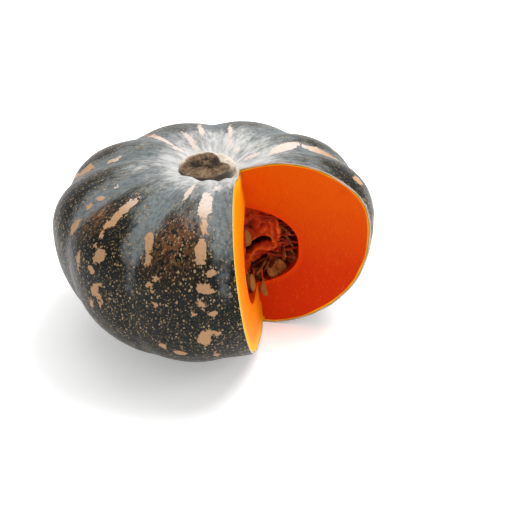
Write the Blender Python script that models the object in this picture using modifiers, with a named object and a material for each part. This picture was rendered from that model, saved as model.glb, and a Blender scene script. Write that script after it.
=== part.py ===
"""A ribbed green pumpkin with a wedge cut out of its front right side.

The rind, the flesh, the stem, the stringy pulp in the seed hollow and the rows of seeds round
the pulp are separate solids. Metres, +Z up. The origin lies under the middle of the whole, on
the surface that the pumpkin rests on. All is modelled round the stem's axis and then moved with
it. Azimuths run from +X towards +Y.
"""
import math
import random

import bmesh
import bpy
from mathutils import Matrix, Vector, noise

MM = 0.001
GAP = 0.3 * MM
MERGE = 0.01 * MM

# The fruit's outline, as heights above and below its widest level
BODY_RADIUS = 125 * MM
CROWN_HEIGHT = 61 * MM
BELLY_DEPTH = 98 * MM
CROWN_SQUARENESS = 2.45
BELLY_SQUARENESS = 2.3
STEM_DIMPLE = 16 * MM
BLOSSOM_DIMPLE = 6.5 * MM
DIMPLE_WIDTH = 35 * MM
WIDEST_LEVEL = 92 * MM
PROFILE_STEPS = 20

# Where the stem's axis stands
AXIS_PLACE = Vector((3, -7, 0)) * MM

# The fruit grew a little to one side of its stem, its crown tilts, and its belly is tucked up
# beside the wedge
BODY_SHIFT_X = -0.026
BODY_SHIFT_Y = 0.06
CROWN_TILT_X = 0.035
CROWN_TILT_Y = -0.055
BELLY_TUCK = 0.12
TUCK_AZIMUTH = math.radians(-60)
TUCK_POWER = 4

# Ribs
RIB_COUNT = 10
STEPS_PER_RIB = 6
FIRST_GROOVE = math.radians(-124)
GROOVE_DEPTH = 4 * MM
GROOVE_SOFTNESS = 0.16
GROOVE_FADE = 0.7
GROOVE_CROWN_SHARE = 0.3

RIND_THICKNESS = 1.7 * MM

# The wedge: two upright cuts from one line that leans out towards the base
CUT_LINE_TOP = Vector((15, 0, 153)) * MM
CUT_LINE_BASE = Vector((36, 0, -6)) * MM
RIGHT_CUT = math.radians(-10)
LEFT_CUT = math.radians(-94.5)
CUTTER_REACH = 0.4

# The seed hollow, turned about the stem's axis
HOLLOW_RADIUS = 63 * MM
HOLLOW_HALF_HEIGHT = 36 * MM
HOLLOW_LEVEL = 72 * MM
HOLLOW_SQUARENESS = 2.5
HOLLOW_STEPS = 36
HOLLOW_PROFILE_STEPS = 14

# The stem's stub, cut at a slant that rises to the back right
STEM_CENTRE = Vector((-7.5, -2.5, 138.7)) * MM
STEM_HALF_WIDTH = 25 * MM
STEM_HALF_DEPTH = 19 * MM
STEM_RIDGES = 5
STEM_RIDGE_SHARE = 0.05
STEM_STEPS = 40
STEM_SLANT_X = 0.15
STEM_SLANT_Y = 0.13
# Share of the half width, height above STEM_CENTRE, share of the slant that the ring takes
STEM_RINGS = (
    (0.00, 6.5 * MM, 1.0),
    (0.35, 6.0 * MM, 1.0),
    (0.66, 7.5 * MM, 1.0),
    (0.82, 8.8 * MM, 1.0),
    (0.87, 7.8 * MM, 1.0),
    (0.89, 4.8 * MM, 0.5),
    (1.00, 1.5 * MM, 0.0),
    (0.96, -8.0 * MM, 0.0),
    (0.00, -12.0 * MM, 0.0),
)

# The pulp: a lumpy core high in the hollow, set back from the cuts
CORE_CENTRE = Vector((0, 0, 80)) * MM
CORE_RADIUS = 48 * MM
CORE_HALF_HEIGHT = 29 * MM
CORE_LUMP = 2.5 * MM
CORE_LUMP_SIZE = 16 * MM
PULP_SETBACK = 3 * MM
THREADS_PER_BAY = 3
THREAD_STEPS = 4
THREAD_RADIUS = 0.8 * MM
THREAD_SAG = 5 * MM
THREAD_SCATTER = 3 * MM
THREAD_SWAY = 0.06
THREAD_ROOT_SHARE = 0.7
THREAD_TOP_SHARE = 0.45
THREAD_DROP_SHARE = 0.4
THREAD_OVERRUN = 2 * MM
FOLDS_PER_CUT = 5
FOLD_STEPS = 8
FOLD_RADIUS = 1.5 * MM
FOLD_RIPPLE = 1.2 * MM
FOLD_REACH = 0.5
FOLD_RISE = 0.85
FOLD_LEVEL = 0.46
FOLD_OUTSET = 2 * MM
FOLD_FIRST_SIZE = 0.25
FOLD_SIZE_STEP = 0.14
FOLD_STARTS = (math.radians(-117), math.radians(-63))
FOLD_SWEEPS = (math.radians(135), math.radians(207))

# Rows of seeds between the core and the hollow's wall
SEED_LENGTH = 16 * MM
SEED_WIDTH = 9.5 * MM
SEED_THICKNESS = 3 * MM
SEED_TAPER = 0.45
SEED_SWINGS = (0.3, 0.5)
SEED_LEANS = (0.25, 0.45)
SEED_TWIST = 0.2
SEED_ROWS = 7
SEEDS_PER_ROW = 5
ROW_INSET = math.radians(8)
ROW_STRAND_RADIUS = 1.3 * MM
ROW_CLEARANCE = 2.2 * MM
ROW_TOP = math.radians(18)
ROW_BOTTOM = math.radians(-58)
ROW_STEPS = 8

# The strand that hangs over the hollow's lower lip, and its seeds: root, direction, face
LIP_STRAND = tuple(
    Vector(place) * MM
    for place in ((28, 3, 58), (31, 0, 54), (33, -3.5, 49), (34.5, -4.5, 43), (35, -4.5, 38))
)
LIP_SEEDS = (
    (Vector((34.5, -4.5, 44)) * MM, Vector((0.15, -0.05, -1)), Vector((0.2, -1, 0.2))),
    (Vector((33.5, -3.5, 50)) * MM, Vector((0.65, -0.12, -0.8)), Vector((0.1, -1, 0.1))),
    (Vector((35, -5, 41)) * MM, Vector((-0.05, -0.55, -0.85)), Vector((1, 0.1, 0.1))),
)

RANDOM_SEED = 7
SHARP_ANGLE = math.radians(35)


def clear_scene():
    for obj in list(bpy.data.objects):
        bpy.data.objects.remove(obj, do_unlink=True)


def new_collection(name):
    collection = bpy.data.collections.new(name)
    bpy.context.scene.collection.children.link(collection)
    return collection


def new_object(name, mesh, collection):
    obj = bpy.data.objects.new(name, mesh)
    collection.objects.link(obj)
    return obj


def apply_modifiers(obj):
    graph = bpy.context.evaluated_depsgraph_get()
    graph.update()
    obj.data = bpy.data.meshes.new_from_object(obj.evaluated_get(graph))
    obj.modifiers.clear()


def turned(name, profile, steps, collection):
    """Turns a profile in the XZ plane, listed from top to bottom, about the Z axis."""
    mesh = bpy.data.meshes.new(name)
    mesh.from_pydata(profile, [(i, i + 1) for i in range(len(profile) - 1)], [])
    obj = new_object(name, mesh, collection)
    screw = obj.modifiers.new("Turn", "SCREW")
    screw.steps = screw.render_steps = steps
    screw.use_merge_vertices = True
    screw.merge_threshold = MERGE
    apply_modifiers(obj)
    return obj


def edit(obj, change):
    """Runs change(bmesh) on the object's mesh."""
    work = bmesh.new()
    work.from_mesh(obj.data)
    work.normal_update()
    change(work)
    work.to_mesh(obj.data)
    work.free()


def boolean(obj, operation, other):
    """Adds an exact Boolean with an object or with every object of a collection."""
    modifier = obj.modifiers.new(operation.title(), "BOOLEAN")
    modifier.operation = operation
    modifier.solver = "EXACT"
    if isinstance(other, bpy.types.Collection):
        modifier.operand_type = "COLLECTION"
        modifier.collection = other
    else:
        modifier.object = other


def join_with(obj, pieces):
    """Joins the collection's objects to obj in one Boolean union and removes them."""
    boolean(obj, "UNION", pieces)
    apply_modifiers(obj)
    for piece in list(pieces.objects):
        bpy.data.objects.remove(piece, do_unlink=True)
    bpy.data.collections.remove(pieces)


def set_material(obj, name, colour, roughness):
    material = bpy.data.materials.new(name)
    material.use_nodes = True
    shader = material.node_tree.nodes["Principled BSDF"]
    shader.inputs["Base Color"].default_value = (*colour, 1)
    shader.inputs["Roughness"].default_value = roughness
    shader.inputs["Metallic"].default_value = 0
    obj.data.materials.clear()
    obj.data.materials.append(material)
    obj.data.shade_smooth()
    obj.data.set_sharp_from_angle(angle=SHARP_ANGLE)


def superellipse_profile(radius, up, down, up_power, down_power, steps):
    """Points of a rounded outline from its top pole to its bottom pole, round the origin."""
    points = []
    for step in range(steps + 1):
        angle = math.pi * step / steps
        across = abs(math.sin(angle)) if 0 < step < steps else 0
        rise = math.cos(angle)
        power = up_power if rise > 0 else down_power
        height = up if rise > 0 else -down
        points.append(Vector((radius * across ** (2 / power), 0, height * abs(rise) ** (2 / power))))
    return points


def body_profile():
    points = superellipse_profile(
        BODY_RADIUS, CROWN_HEIGHT, BELLY_DEPTH, CROWN_SQUARENESS, BELLY_SQUARENESS, PROFILE_STEPS
    )
    for point in points:
        dimple = math.exp(-((point.x / DIMPLE_WIDTH) ** 2))
        point.z += dimple * (-STEM_DIMPLE if point.z > 0 else BLOSSOM_DIMPLE)
    return points


def groove_depth(azimuth, radius, height):
    """How far the skin lies in from the turned outline: deepest in the grooves."""
    wave = math.sin(RIB_COUNT / 2 * (azimuth - FIRST_GROOVE))
    ridge = math.hypot(wave, GROOVE_SOFTNESS) - GROOVE_SOFTNESS
    ridge /= math.hypot(1, GROOVE_SOFTNESS) - GROOVE_SOFTNESS
    crown_share = 1 + GROOVE_CROWN_SHARE * height / CROWN_HEIGHT
    return GROOVE_DEPTH * (1 - ridge) * (radius / BODY_RADIUS) ** GROOVE_FADE * max(crown_share, 0)


def lean(point):
    """Shifts the fruit to one side of its stem, tilts its crown, tucks its belly up beside the
    wedge and presses its base flat."""
    azimuth = math.atan2(point.y, point.x)
    spread = 1 + BODY_SHIFT_X * math.cos(azimuth) + BODY_SHIFT_Y * math.sin(azimuth)
    crown = min(max(point.z / CROWN_HEIGHT, 0), 1)
    tilt = crown * (CROWN_TILT_X * point.x + CROWN_TILT_Y * point.y)
    belly = max(-point.z / BELLY_DEPTH, 0)
    towards = max(math.cos(azimuth - TUCK_AZIMUTH), 0) ** TUCK_POWER
    tuck = BELLY_TUCK * belly * towards * math.hypot(point.x, point.y)
    height = max(point.z + tilt + tuck + WIDEST_LEVEL, 0)
    return Vector((point.x * spread, point.y * spread, height))


def shape_skin(work):
    bmesh.ops.rotate(work, verts=work.verts, matrix=Matrix.Rotation(FIRST_GROOVE, 3, "Z"))
    work.normal_update()
    places = []
    for vertex in work.verts:
        x, y, z = vertex.co
        depth = groove_depth(math.atan2(y, x), math.hypot(x, y), z)
        places.append(lean(vertex.co - vertex.normal * depth))
    for vertex, place in zip(work.verts, places):
        vertex.co = place
    bmesh.ops.triangulate(work, faces=work.faces, quad_method="FIXED")


def skin(name, offset, collection):
    """The whole fruit's closed skin, moved out along its normals by offset."""

    def move_out(work):
        places = [vertex.co + vertex.normal * offset for vertex in work.verts]
        for vertex, place in zip(work.verts, places):
            vertex.co = place

    obj = turned(name, body_profile(), RIB_COUNT * STEPS_PER_RIB, collection)
    edit(obj, shape_skin)
    edit(obj, move_out)
    return obj


def cut_normal(azimuth):
    """The normal, towards the wedge that is taken out, of the cut at this azimuth."""
    outward = Vector((math.cos(azimuth), math.sin(azimuth), 0))
    normal = outward.cross(CUT_LINE_TOP - CUT_LINE_BASE).normalized()
    middle = (RIGHT_CUT + LEFT_CUT) / 2
    return normal if normal.dot(Vector((math.cos(middle), math.sin(middle), 0))) > 0 else -normal


def wedge_cutter(name, setback, collection):
    """A large cube trimmed to the space between the two cuts, each moved back by setback."""

    def trim(work):
        bmesh.ops.create_cube(work, size=2 * CUTTER_REACH)
        for azimuth in (RIGHT_CUT, LEFT_CUT):
            normal = cut_normal(azimuth)
            cut = bmesh.ops.bisect_plane(
                work,
                geom=list(work.verts) + list(work.edges) + list(work.faces),
                plane_co=CUT_LINE_TOP - normal * setback,
                plane_no=normal,
                clear_inner=True,
            )
            edges = [item for item in cut["geom_cut"] if isinstance(item, bmesh.types.BMEdge)]
            bmesh.ops.contextual_create(work, geom=edges)
        bmesh.ops.recalc_face_normals(work, faces=work.faces)

    obj = new_object(name, bpy.data.meshes.new(name), collection)
    edit(obj, trim)
    return obj


def hollow(name, shrink, collection):
    profile = superellipse_profile(
        HOLLOW_RADIUS - shrink,
        HOLLOW_HALF_HEIGHT - shrink,
        HOLLOW_HALF_HEIGHT - shrink,
        HOLLOW_SQUARENESS,
        HOLLOW_SQUARENESS,
        HOLLOW_PROFILE_STEPS,
    )
    for point in profile:
        point.z += HOLLOW_LEVEL
    return turned(name, profile, HOLLOW_STEPS, collection)


def hollow_radius(height):
    share = min(abs(height - HOLLOW_LEVEL) / HOLLOW_HALF_HEIGHT, 1)
    return HOLLOW_RADIUS * (1 - share**HOLLOW_SQUARENESS) ** (1 / HOLLOW_SQUARENESS)


def make_rind(wedge, collection):
    obj = skin("rind", 0, collection)
    shell = obj.modifiers.new("Wall", "SOLIDIFY")
    shell.thickness = RIND_THICKNESS
    shell.offset = -1
    boolean(obj, "DIFFERENCE", wedge)
    set_material(obj, "Green rind", (0.035, 0.06, 0.05), 0.42)
    return obj


def make_flesh(wedge, seed_hollow, collection):
    obj = skin("flesh", -(RIND_THICKNESS + GAP), collection)
    boolean(obj, "DIFFERENCE", seed_hollow)
    boolean(obj, "DIFFERENCE", wedge)
    set_material(obj, "Orange flesh", (0.85, 0.24, 0.01), 0.5)
    return obj


def make_stem(clear_of, collection):
    def reshape(work):
        for vertex in work.verts:
            azimuth = math.atan2(vertex.co.y, vertex.co.x)
            ridge = 1 + STEM_RIDGE_SHARE * math.cos(STEM_RIDGES * azimuth)
            vertex.co.x *= ridge
            vertex.co.y *= ridge * STEM_HALF_DEPTH / STEM_HALF_WIDTH
            slant = STEM_SLANT_X * vertex.co.x + STEM_SLANT_Y * vertex.co.y
            vertex.co.z += slant * slant_share(vertex.co.z)
            vertex.co += STEM_CENTRE

    def slant_share(height):
        nearest = min(STEM_RINGS, key=lambda ring: abs(ring[1] - height))
        return nearest[2]

    profile = [(STEM_HALF_WIDTH * share, 0, height) for share, height, _ in STEM_RINGS]
    obj = turned("stem", profile, STEM_STEPS, collection)
    edit(obj, reshape)
    boolean(obj, "DIFFERENCE", clear_of)
    set_material(obj, "Woody stem", (0.23, 0.16, 0.09), 0.85)
    return obj


def tube(name, points, radius, collection):
    """A strand with filled ends through the points, as a mesh."""
    curve = bpy.data.curves.new(name, "CURVE")
    curve.dimensions = "3D"
    curve.bevel_depth = radius
    curve.bevel_resolution = 0
    curve.use_fill_caps = True
    spline = curve.splines.new("POLY")
    spline.points.add(len(points) - 1)
    for place, point in zip(spline.points, points):
        place.co = (*point, 1)
    guide = new_object(name + "_curve", curve, collection)
    graph = bpy.context.evaluated_depsgraph_get()
    mesh = bpy.data.meshes.new_from_object(guide.evaluated_get(graph))
    bpy.data.objects.remove(guide, do_unlink=True)
    obj = new_object(name, mesh, collection)
    edit(obj, lambda work: bmesh.ops.remove_doubles(work, verts=work.verts, dist=MERGE))
    return obj


def polar(azimuth, radius, height):
    return Vector((radius * math.cos(azimuth), radius * math.sin(azimuth), height))


def row_azimuth(row):
    """Azimuth of a row of seeds: the rows share the part of the hollow that is left."""
    span = 2 * math.pi - (RIGHT_CUT - LEFT_CUT) - 2 * ROW_INSET
    return RIGHT_CUT + ROW_INSET + span * row / (SEED_ROWS - 1)


def core(name, grow, wedge, collection):
    """The pulp's lumpy core, moved out by grow and cut by the wedge."""

    def lumpy(work):
        bmesh.ops.create_icosphere(work, subdivisions=3, radius=1)
        for vertex in work.verts:
            across = vertex.co.copy()
            place = across * CORE_RADIUS
            place.z = across.z * CORE_HALF_HEIGHT
            lump = noise.noise(place / CORE_LUMP_SIZE) * CORE_LUMP
            vertex.co = CORE_CENTRE + place + across * (lump + grow)

    obj = new_object(name, bpy.data.meshes.new(name), collection)
    edit(obj, lumpy)
    boolean(obj, "DIFFERENCE", wedge)
    apply_modifiers(obj)
    return obj


def add_threads(strands, draws):
    """Threads from the core out to the hollow's wall, in the bays between the rows of seeds."""
    bay = row_azimuth(1) - row_azimuth(0)
    for row in range(1, SEED_ROWS):
        for number in range(THREADS_PER_BAY):
            azimuth = row_azimuth(row) - bay / 2 + bay * draws.uniform(-THREAD_SWAY, THREAD_SWAY)
            share = THREAD_TOP_SHARE - THREAD_DROP_SHARE * number
            level = CORE_CENTRE.z + CORE_HALF_HEIGHT * share
            height = level + draws.uniform(-THREAD_SCATTER, THREAD_SCATTER)
            inner = CORE_RADIUS * THREAD_ROOT_SHARE
            outer = hollow_radius(height - THREAD_SAG / 2) + THREAD_OVERRUN
            points = []
            for step in range(THREAD_STEPS + 1):
                share = step / THREAD_STEPS
                sag = THREAD_SAG * math.sin(math.pi * share)
                points.append(polar(azimuth, inner + (outer - inner) * share, height - sag))
            tube("thread", points, THREAD_RADIUS, strands)


def add_folds(strands, draws):
    """Folded strands, one round the other, that stand out of the core's two cut sides."""
    for azimuth in (RIGHT_CUT, LEFT_CUT):
        outward = Vector((math.cos(azimuth), math.sin(azimuth), 0))
        middle = CUT_LINE_TOP.lerp(CUT_LINE_BASE, FOLD_LEVEL) + outward * FOLD_OUTSET
        middle -= cut_normal(azimuth) * (PULP_SETBACK - FOLD_RADIUS / 3)
        for number in range(FOLDS_PER_CUT):
            size = FOLD_FIRST_SIZE + FOLD_SIZE_STEP * number
            start = draws.uniform(*FOLD_STARTS)
            sweep = draws.uniform(*FOLD_SWEEPS)
            points = []
            for step in range(FOLD_STEPS + 1):
                turn = start + sweep * step / FOLD_STEPS
                reach = CORE_RADIUS * FOLD_REACH * size * math.cos(turn)
                rise = CORE_HALF_HEIGHT * FOLD_RISE * size * math.sin(turn)
                rise += draws.uniform(-FOLD_RIPPLE, FOLD_RIPPLE)
                points.append(middle + outward * reach + Vector((0, 0, rise)))
            tube("fold", points, FOLD_RADIUS, strands)


def make_pulp(wall, wedge, collection):
    """The core, with folded strands on its two cut sides and threads out to the hollow's wall."""
    draws = random.Random(RANDOM_SEED)
    obj = core("pulp", 0, wedge, collection)
    strands = new_collection("Pulp strands")
    add_threads(strands, draws)
    add_folds(strands, draws)
    join_with(obj, strands)
    boolean(obj, "INTERSECT", wall)
    apply_modifiers(obj)
    set_material(obj, "Stringy pulp", (0.62, 0.09, 0.01), 0.45)
    return obj


def add_seed(root, direction, face, collection):
    """One seed, flat and pointed, with its pointed end at root, pointing in direction."""
    forward = direction.normalized()
    side = forward.cross(face).normalized()
    up = side.cross(forward)

    def shape(work):
        bmesh.ops.create_uvsphere(work, u_segments=6, v_segments=6, radius=0.5)
        for vertex in work.verts:
            across, thick, along = vertex.co
            taper = 1 - SEED_TAPER * max(-along * 2, 0) ** 2
            vertex.co = (
                root
                + forward * (along + 0.5) * SEED_LENGTH
                + side * across * taper * SEED_WIDTH
                + up * thick * taper * SEED_THICKNESS
            )
        bmesh.ops.recalc_face_normals(work, faces=work.faces)

    edit(new_object("seed", bpy.data.meshes.new("seed"), collection), shape)


def add_lip_seeds(seeds):
    """The strand and seeds that hang from the first row over the hollow's lower lip."""
    tube("lip strand", LIP_STRAND, ROW_STRAND_RADIUS, seeds)
    for root, direction, face in LIP_SEEDS:
        add_seed(root, direction, face, seeds)


def make_seed_row(name, azimuth, draws, core_clearance, collection, over_lip):
    """A strand down the core's side, with seeds that lean out and down from it on both sides."""
    points = []
    for step in range(ROW_STEPS + 1):
        turn = ROW_TOP + (ROW_BOTTOM - ROW_TOP) * step / ROW_STEPS
        radius = (CORE_RADIUS + ROW_CLEARANCE) * math.cos(turn)
        height = CORE_CENTRE.z + (CORE_HALF_HEIGHT + ROW_CLEARANCE) * math.sin(turn)
        points.append(polar(azimuth, radius, height))
    obj = tube(name, points, ROW_STRAND_RADIUS, collection)
    seeds = new_collection(name + " seeds")
    tangent = Vector((-math.sin(azimuth), math.cos(azimuth), 0))
    for number in range(SEEDS_PER_ROW):
        station = 1 + (ROW_STEPS - 2) * number / (SEEDS_PER_ROW - 1)
        before, after = points[int(station)], points[int(station) + 1]
        place = before.lerp(after, station % 1)
        down = (after - before).normalized()
        away = down.cross(tangent)
        swing = tangent * draws.uniform(*SEED_SWINGS) * (1 if number % 2 else -1)
        direction = down + swing + away * draws.uniform(*SEED_LEANS)
        face = away + tangent * draws.uniform(-SEED_TWIST, SEED_TWIST)
        add_seed(place, direction, face, seeds)
    if over_lip:
        add_lip_seeds(seeds)
    join_with(obj, seeds)
    boolean(obj, "DIFFERENCE", core_clearance)
    apply_modifiers(obj)
    set_material(obj, "Cream seeds", (0.62, 0.36, 0.14), 0.4)


def main():
    clear_scene()
    parts = new_collection("Pumpkin")
    cutters = new_collection("Cutters")
    wedge = wedge_cutter("wedge_cutter", 0, cutters)
    pulp_wedge = wedge_cutter("pulp_wedge_cutter", PULP_SETBACK, cutters)
    seed_hollow = hollow("hollow_cutter", 0, cutters)
    pulp_wall = hollow("pulp_wall", GAP, cutters)
    clearance_wedge = wedge_cutter("clearance_wedge_cutter", PULP_SETBACK - GAP, cutters)
    core_clearance = core("core_clearance", GAP, clearance_wedge, cutters)
    stem_clearance = skin("stem_clearance", GAP, cutters)
    for cutter in cutters.objects:
        cutter.hide_render = True
        cutter.display_type = "WIRE"
    make_rind(wedge, parts)
    make_flesh(wedge, seed_hollow, parts)
    make_stem(stem_clearance, parts)
    make_pulp(pulp_wall, pulp_wedge, parts)
    draws = random.Random(RANDOM_SEED)
    for row in range(SEED_ROWS):
        name = f"seed_row_{row + 1}"
        make_seed_row(name, row_azimuth(row), draws, core_clearance, parts, over_lip=row == 0)
    axis = new_object("stem_axis", None, parts)
    for obj in list(parts.objects) + list(cutters.objects):
        if obj != axis:
            obj.parent = axis
    axis.location = AXIS_PLACE


main()
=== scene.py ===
"""A cut pumpkin: its looks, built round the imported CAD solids.

Metres, +Z up, the origin on the table under the middle of the fruit. Azimuths run from +X towards
+Y, and a place on the skin is an azimuth and a distance from the stem along the skin.
"""
import math
import random

import bmesh
import bpy
import numpy as np
from bpy.props import FloatProperty, FloatVectorProperty, IntProperty, PointerProperty
from mathutils import Matrix, Vector, noise
from mathutils.bvhtree import BVHTree


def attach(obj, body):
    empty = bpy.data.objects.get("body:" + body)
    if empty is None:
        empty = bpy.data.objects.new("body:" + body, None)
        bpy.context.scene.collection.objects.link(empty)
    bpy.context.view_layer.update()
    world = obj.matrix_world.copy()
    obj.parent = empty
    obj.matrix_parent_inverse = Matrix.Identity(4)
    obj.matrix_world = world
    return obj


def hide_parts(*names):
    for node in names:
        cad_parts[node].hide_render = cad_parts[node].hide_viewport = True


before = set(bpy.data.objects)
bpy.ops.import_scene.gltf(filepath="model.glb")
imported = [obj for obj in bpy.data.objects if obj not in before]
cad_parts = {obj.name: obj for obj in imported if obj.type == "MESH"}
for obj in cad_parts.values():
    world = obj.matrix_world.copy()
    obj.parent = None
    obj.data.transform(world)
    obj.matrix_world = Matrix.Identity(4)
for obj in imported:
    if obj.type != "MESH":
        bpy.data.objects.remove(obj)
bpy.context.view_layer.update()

bl_info = {
    "name": "Cut Pumpkin",
    "version": (1, 0, 0),
    "blender": (4, 5, 0),
    "location": "View3D > Sidebar > Pumpkin",
    "description": "Rind, flesh, stem, pulp and seeds of a cut pumpkin, with a plain stage",
    "category": "Object",
}

MM = 0.001

# The fruit's outline and ribs, as its solids have them
BODY_RADIUS = 125 * MM
CROWN_HEIGHT = 61 * MM
BELLY_DEPTH = 98 * MM
CROWN_SQUARENESS = 2.45
BELLY_SQUARENESS = 2.3
STEM_DIMPLE = 16 * MM
BLOSSOM_DIMPLE = 6.5 * MM
DIMPLE_WIDTH = 35 * MM
WIDEST_LEVEL = 92 * MM
AXIS_PLACE = Vector((3, -7, 0)) * MM
BODY_SHIFT_X = -0.026
BODY_SHIFT_Y = 0.06
CROWN_TILT_X = 0.035
CROWN_TILT_Y = -0.055
BELLY_TUCK = 0.12
TUCK_AZIMUTH = math.radians(-60)
TUCK_POWER = 4
RIB_COUNT = 10
FIRST_GROOVE = math.radians(-124)
GROOVE_DEPTH = 4 * MM
GROOVE_SOFTNESS = 0.16
GROOVE_FADE = 0.7
GROOVE_CROWN_SHARE = 0.3
RIND_THICKNESS = 1.7 * MM
CUT_LINE_TOP = Vector((15, 0, 153)) * MM
CUT_LINE_BASE = Vector((36, 0, -6)) * MM
RIGHT_CUT = math.radians(-10)
LEFT_CUT = math.radians(-94.5)
CUTTER_REACH = 0.4
HOLLOW_RADIUS = 63 * MM
HOLLOW_HALF_HEIGHT = 36 * MM
HOLLOW_LEVEL = 72 * MM
HOLLOW_SQUARENESS = 2.5
STEM_CENTRE = Vector((-7.5, -2.5, 138.7)) * MM
STEM_HALF_WIDTH = 25 * MM
STEM_HALF_DEPTH = 19 * MM
STEM_SLANT_X = 0.08
STEM_SLANT_Y = 0.21
CORE_CENTRE = Vector((0, 0, 80)) * MM
CORE_RADIUS = 48 * MM
CORE_HALF_HEIGHT = 29 * MM
PULP_SETBACK = 3 * MM
SEED_ROWS = 7
ROW_INSET = math.radians(8)

# Fineness of the meshes
SKIN_SEGMENTS = 270
SKIN_RINGS = 120
HOLLOW_SEGMENTS = 120
HOLLOW_RINGS = 60
STEM_SEGMENTS = 120
CUT_CELL = 3 * MM
CUT_FLATNESS = 0.999
TURN_STEP = 0.01

# The skin's pattern lies on a cylinder of this radius, and runs along it at this rate
GROWN_RADIUS = 95 * MM
GROWN_STRETCH = 0.62

# How narrow the bloom's tongues in the grooves are, and how much further down they reach
GROOVE_NARROWNESS = 1.4
GROOVE_BLOOM = 60 * MM

# Gap that the finished flesh keeps to the rind
LAYER_GAP = 0.05 * MM

# Uneven growth of the skin: size of the swells and how far they move it
SWELLS = ((45 * MM, 1.1 * MM), (16 * MM, 0.35 * MM))

# Pale marks on the skin: azimuth and slant in degrees, then distance from the stem, length and
# width in millimetres. A slant of 0 runs away from the stem.
MARKS = (
    (-97.5, 0, 74, 33, 10),
    (-96.5, 4, 96, 12, 4),
    (-97, -5, 117, 21, 8.5),
    (-93, 90, 131.5, 8, 4.5),
    (-95, 68, 143, 12, 8),
    (-96.5, 90, 152, 5, 4),
    (-96, 90, 158, 5, 4),
    (-99, 90, 163, 4, 4),
    (-92.5, 90, 164, 5, 4),
    (-95.5, 0, 188, 20, 10),
    (-91.5, 74, 184, 8, 5),
    (-92, 10, 215, 14, 4),
    (-119.5, 20, 112, 18, 8),
    (-117.5, 10, 124.5, 11, 6),
    (-113, 98, 138, 5, 4.5),
    (-115, 100, 143, 6, 4),
    (-113.5, 100, 147.5, 5, 4),
    (-113, 100, 159, 6, 5),
    (-113, 90, 171, 4, 4),
    (-112.5, 16, 202, 8, 7),
    (-106, 100, 210, 10, 7),
    (-140, -2, 99.5, 39, 8),
    (-137, -20, 134, 13, 9),
    (-139.5, 0, 146.5, 6, 7),
    (-137.5, -22, 161.5, 14, 7),
    (-141.5, -30, 179, 12.5, 4.5),
    (-136, -24, 172, 11, 3.5),
    (-140.5, 0, 128, 4, 4),
    (-158.5, 0, 128.5, 15, 9),
    (-147, 0, 146, 13, 5),
    (-161, 130, 97, 8, 4.5),
    (-160.5, 0, 107, 5, 4),
    (-165, 20, 91, 5, 3.5),
    (-162, 25, 82, 5, 3.5),
    (161.5, 12, 84.5, 12, 5),
    (162.5, 0, 112, 20, 9),
    (128.5, -14, 72.5, 58, 5),
    (137, 0, 40, 9, 5),
    (116.5, -7, 44, 38, 3.5),
    (101, -6, 65, 34, 4),
    (80, 10, 58, 27, 2.8),
    (74.5, 0, 37, 13, 3),
    (61.5, -15, 32, 8, 2.6),
    (29, -12, 31, 14, 3.2),
    (25, 15, 59.5, 34, 9),
    (21, -18, 93.5, 42, 10),
    (-112.5, 6, 58.5, 30, 4),
    (-91, -15, 45, 16, 3),
)
# Marks round the back, in columns of azimuths in degrees: where a column starts and ends, how long
# and wide its marks are and the gaps between them in millimetres, and how far they stray in degrees
MARK_SEED = 5
HIDDEN_COLUMNS = range(-4, 166, 18)
HIDDEN_START = (110, 122)
HIDDEN_END = 235
HIDDEN_LENGTHS = (5, 8, 12, 19)
HIDDEN_WIDTHS = (4, 9)
HIDDEN_GAPS = (7, 17)
HIDDEN_STRAY = 5
HIDDEN_SLANT = 25
FAR_FROM_MARKS = 50.0

# Layers of specks: their spacing as a share of the speck size, the largest speck as a share of that
# spacing, and their strength
SPECK_LAYERS = ((1.5, 0.3, 0.9), (1, 0.42, 0.8), (0.6, 0.45, 0.6))

# Rusty tinges: azimuth in degrees, distance from the stem and spread in millimetres
TINGES = ((-109, 112, 21), (-103, 96, 13), (-150, 110, 14), (60, 150, 20), (140, 120, 18))

CUT_SHARP_ANGLE = math.radians(40)


def colour(name, description, default):
    return FloatVectorProperty(
        name=name, description=description, default=default, subtype="COLOR", size=3, min=0, max=1
    )


class PumpkinRindSettings(bpy.types.PropertyGroup):
    dark: colour("Green", "Darkest green of the skin", (0.004, 0.006, 0.005))
    grey: colour("Grey green", "Paler green between the specks", (0.012, 0.015, 0.012))
    bloom: colour("Bloom", "Thin waxy bloom, blue grey", (0.165, 0.185, 0.19))
    silver: colour("Silver", "Thick bloom round the stem", (0.54, 0.53, 0.51))
    mark: colour("Marks", "Pale marks down the ribs", (0.46, 0.27, 0.145))
    pale_mark: colour("Pale marks", "Marks round the stem", (0.62, 0.52, 0.45))
    low_mark: colour("Low marks", "Marks near the base", (0.42, 0.23, 0.115))
    speck: colour("Specks", "Fine specks, pale tan", (0.4, 0.27, 0.15))
    olive: colour("Olive specks", "Fine specks, yellow green", (0.13, 0.095, 0.03))
    tinge: colour("Tinge", "Rusty tinges on the front ribs", (0.19, 0.07, 0.022))
    edge: colour("Cut edge", "Inner side of the rind where it is cut", (0.3, 0.26, 0.03))
    speck_size: FloatProperty(
        name="Speck size", description="Mean distance between specks", default=1.6 * MM,
        min=0.5 * MM, max=10 * MM, unit="LENGTH",
    )
    bloom_reach: FloatProperty(
        name="Bloom reach", description="How far the bloom reaches from the stem on a rib",
        default=76 * MM, min=20 * MM, max=200 * MM, unit="LENGTH",
    )


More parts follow.
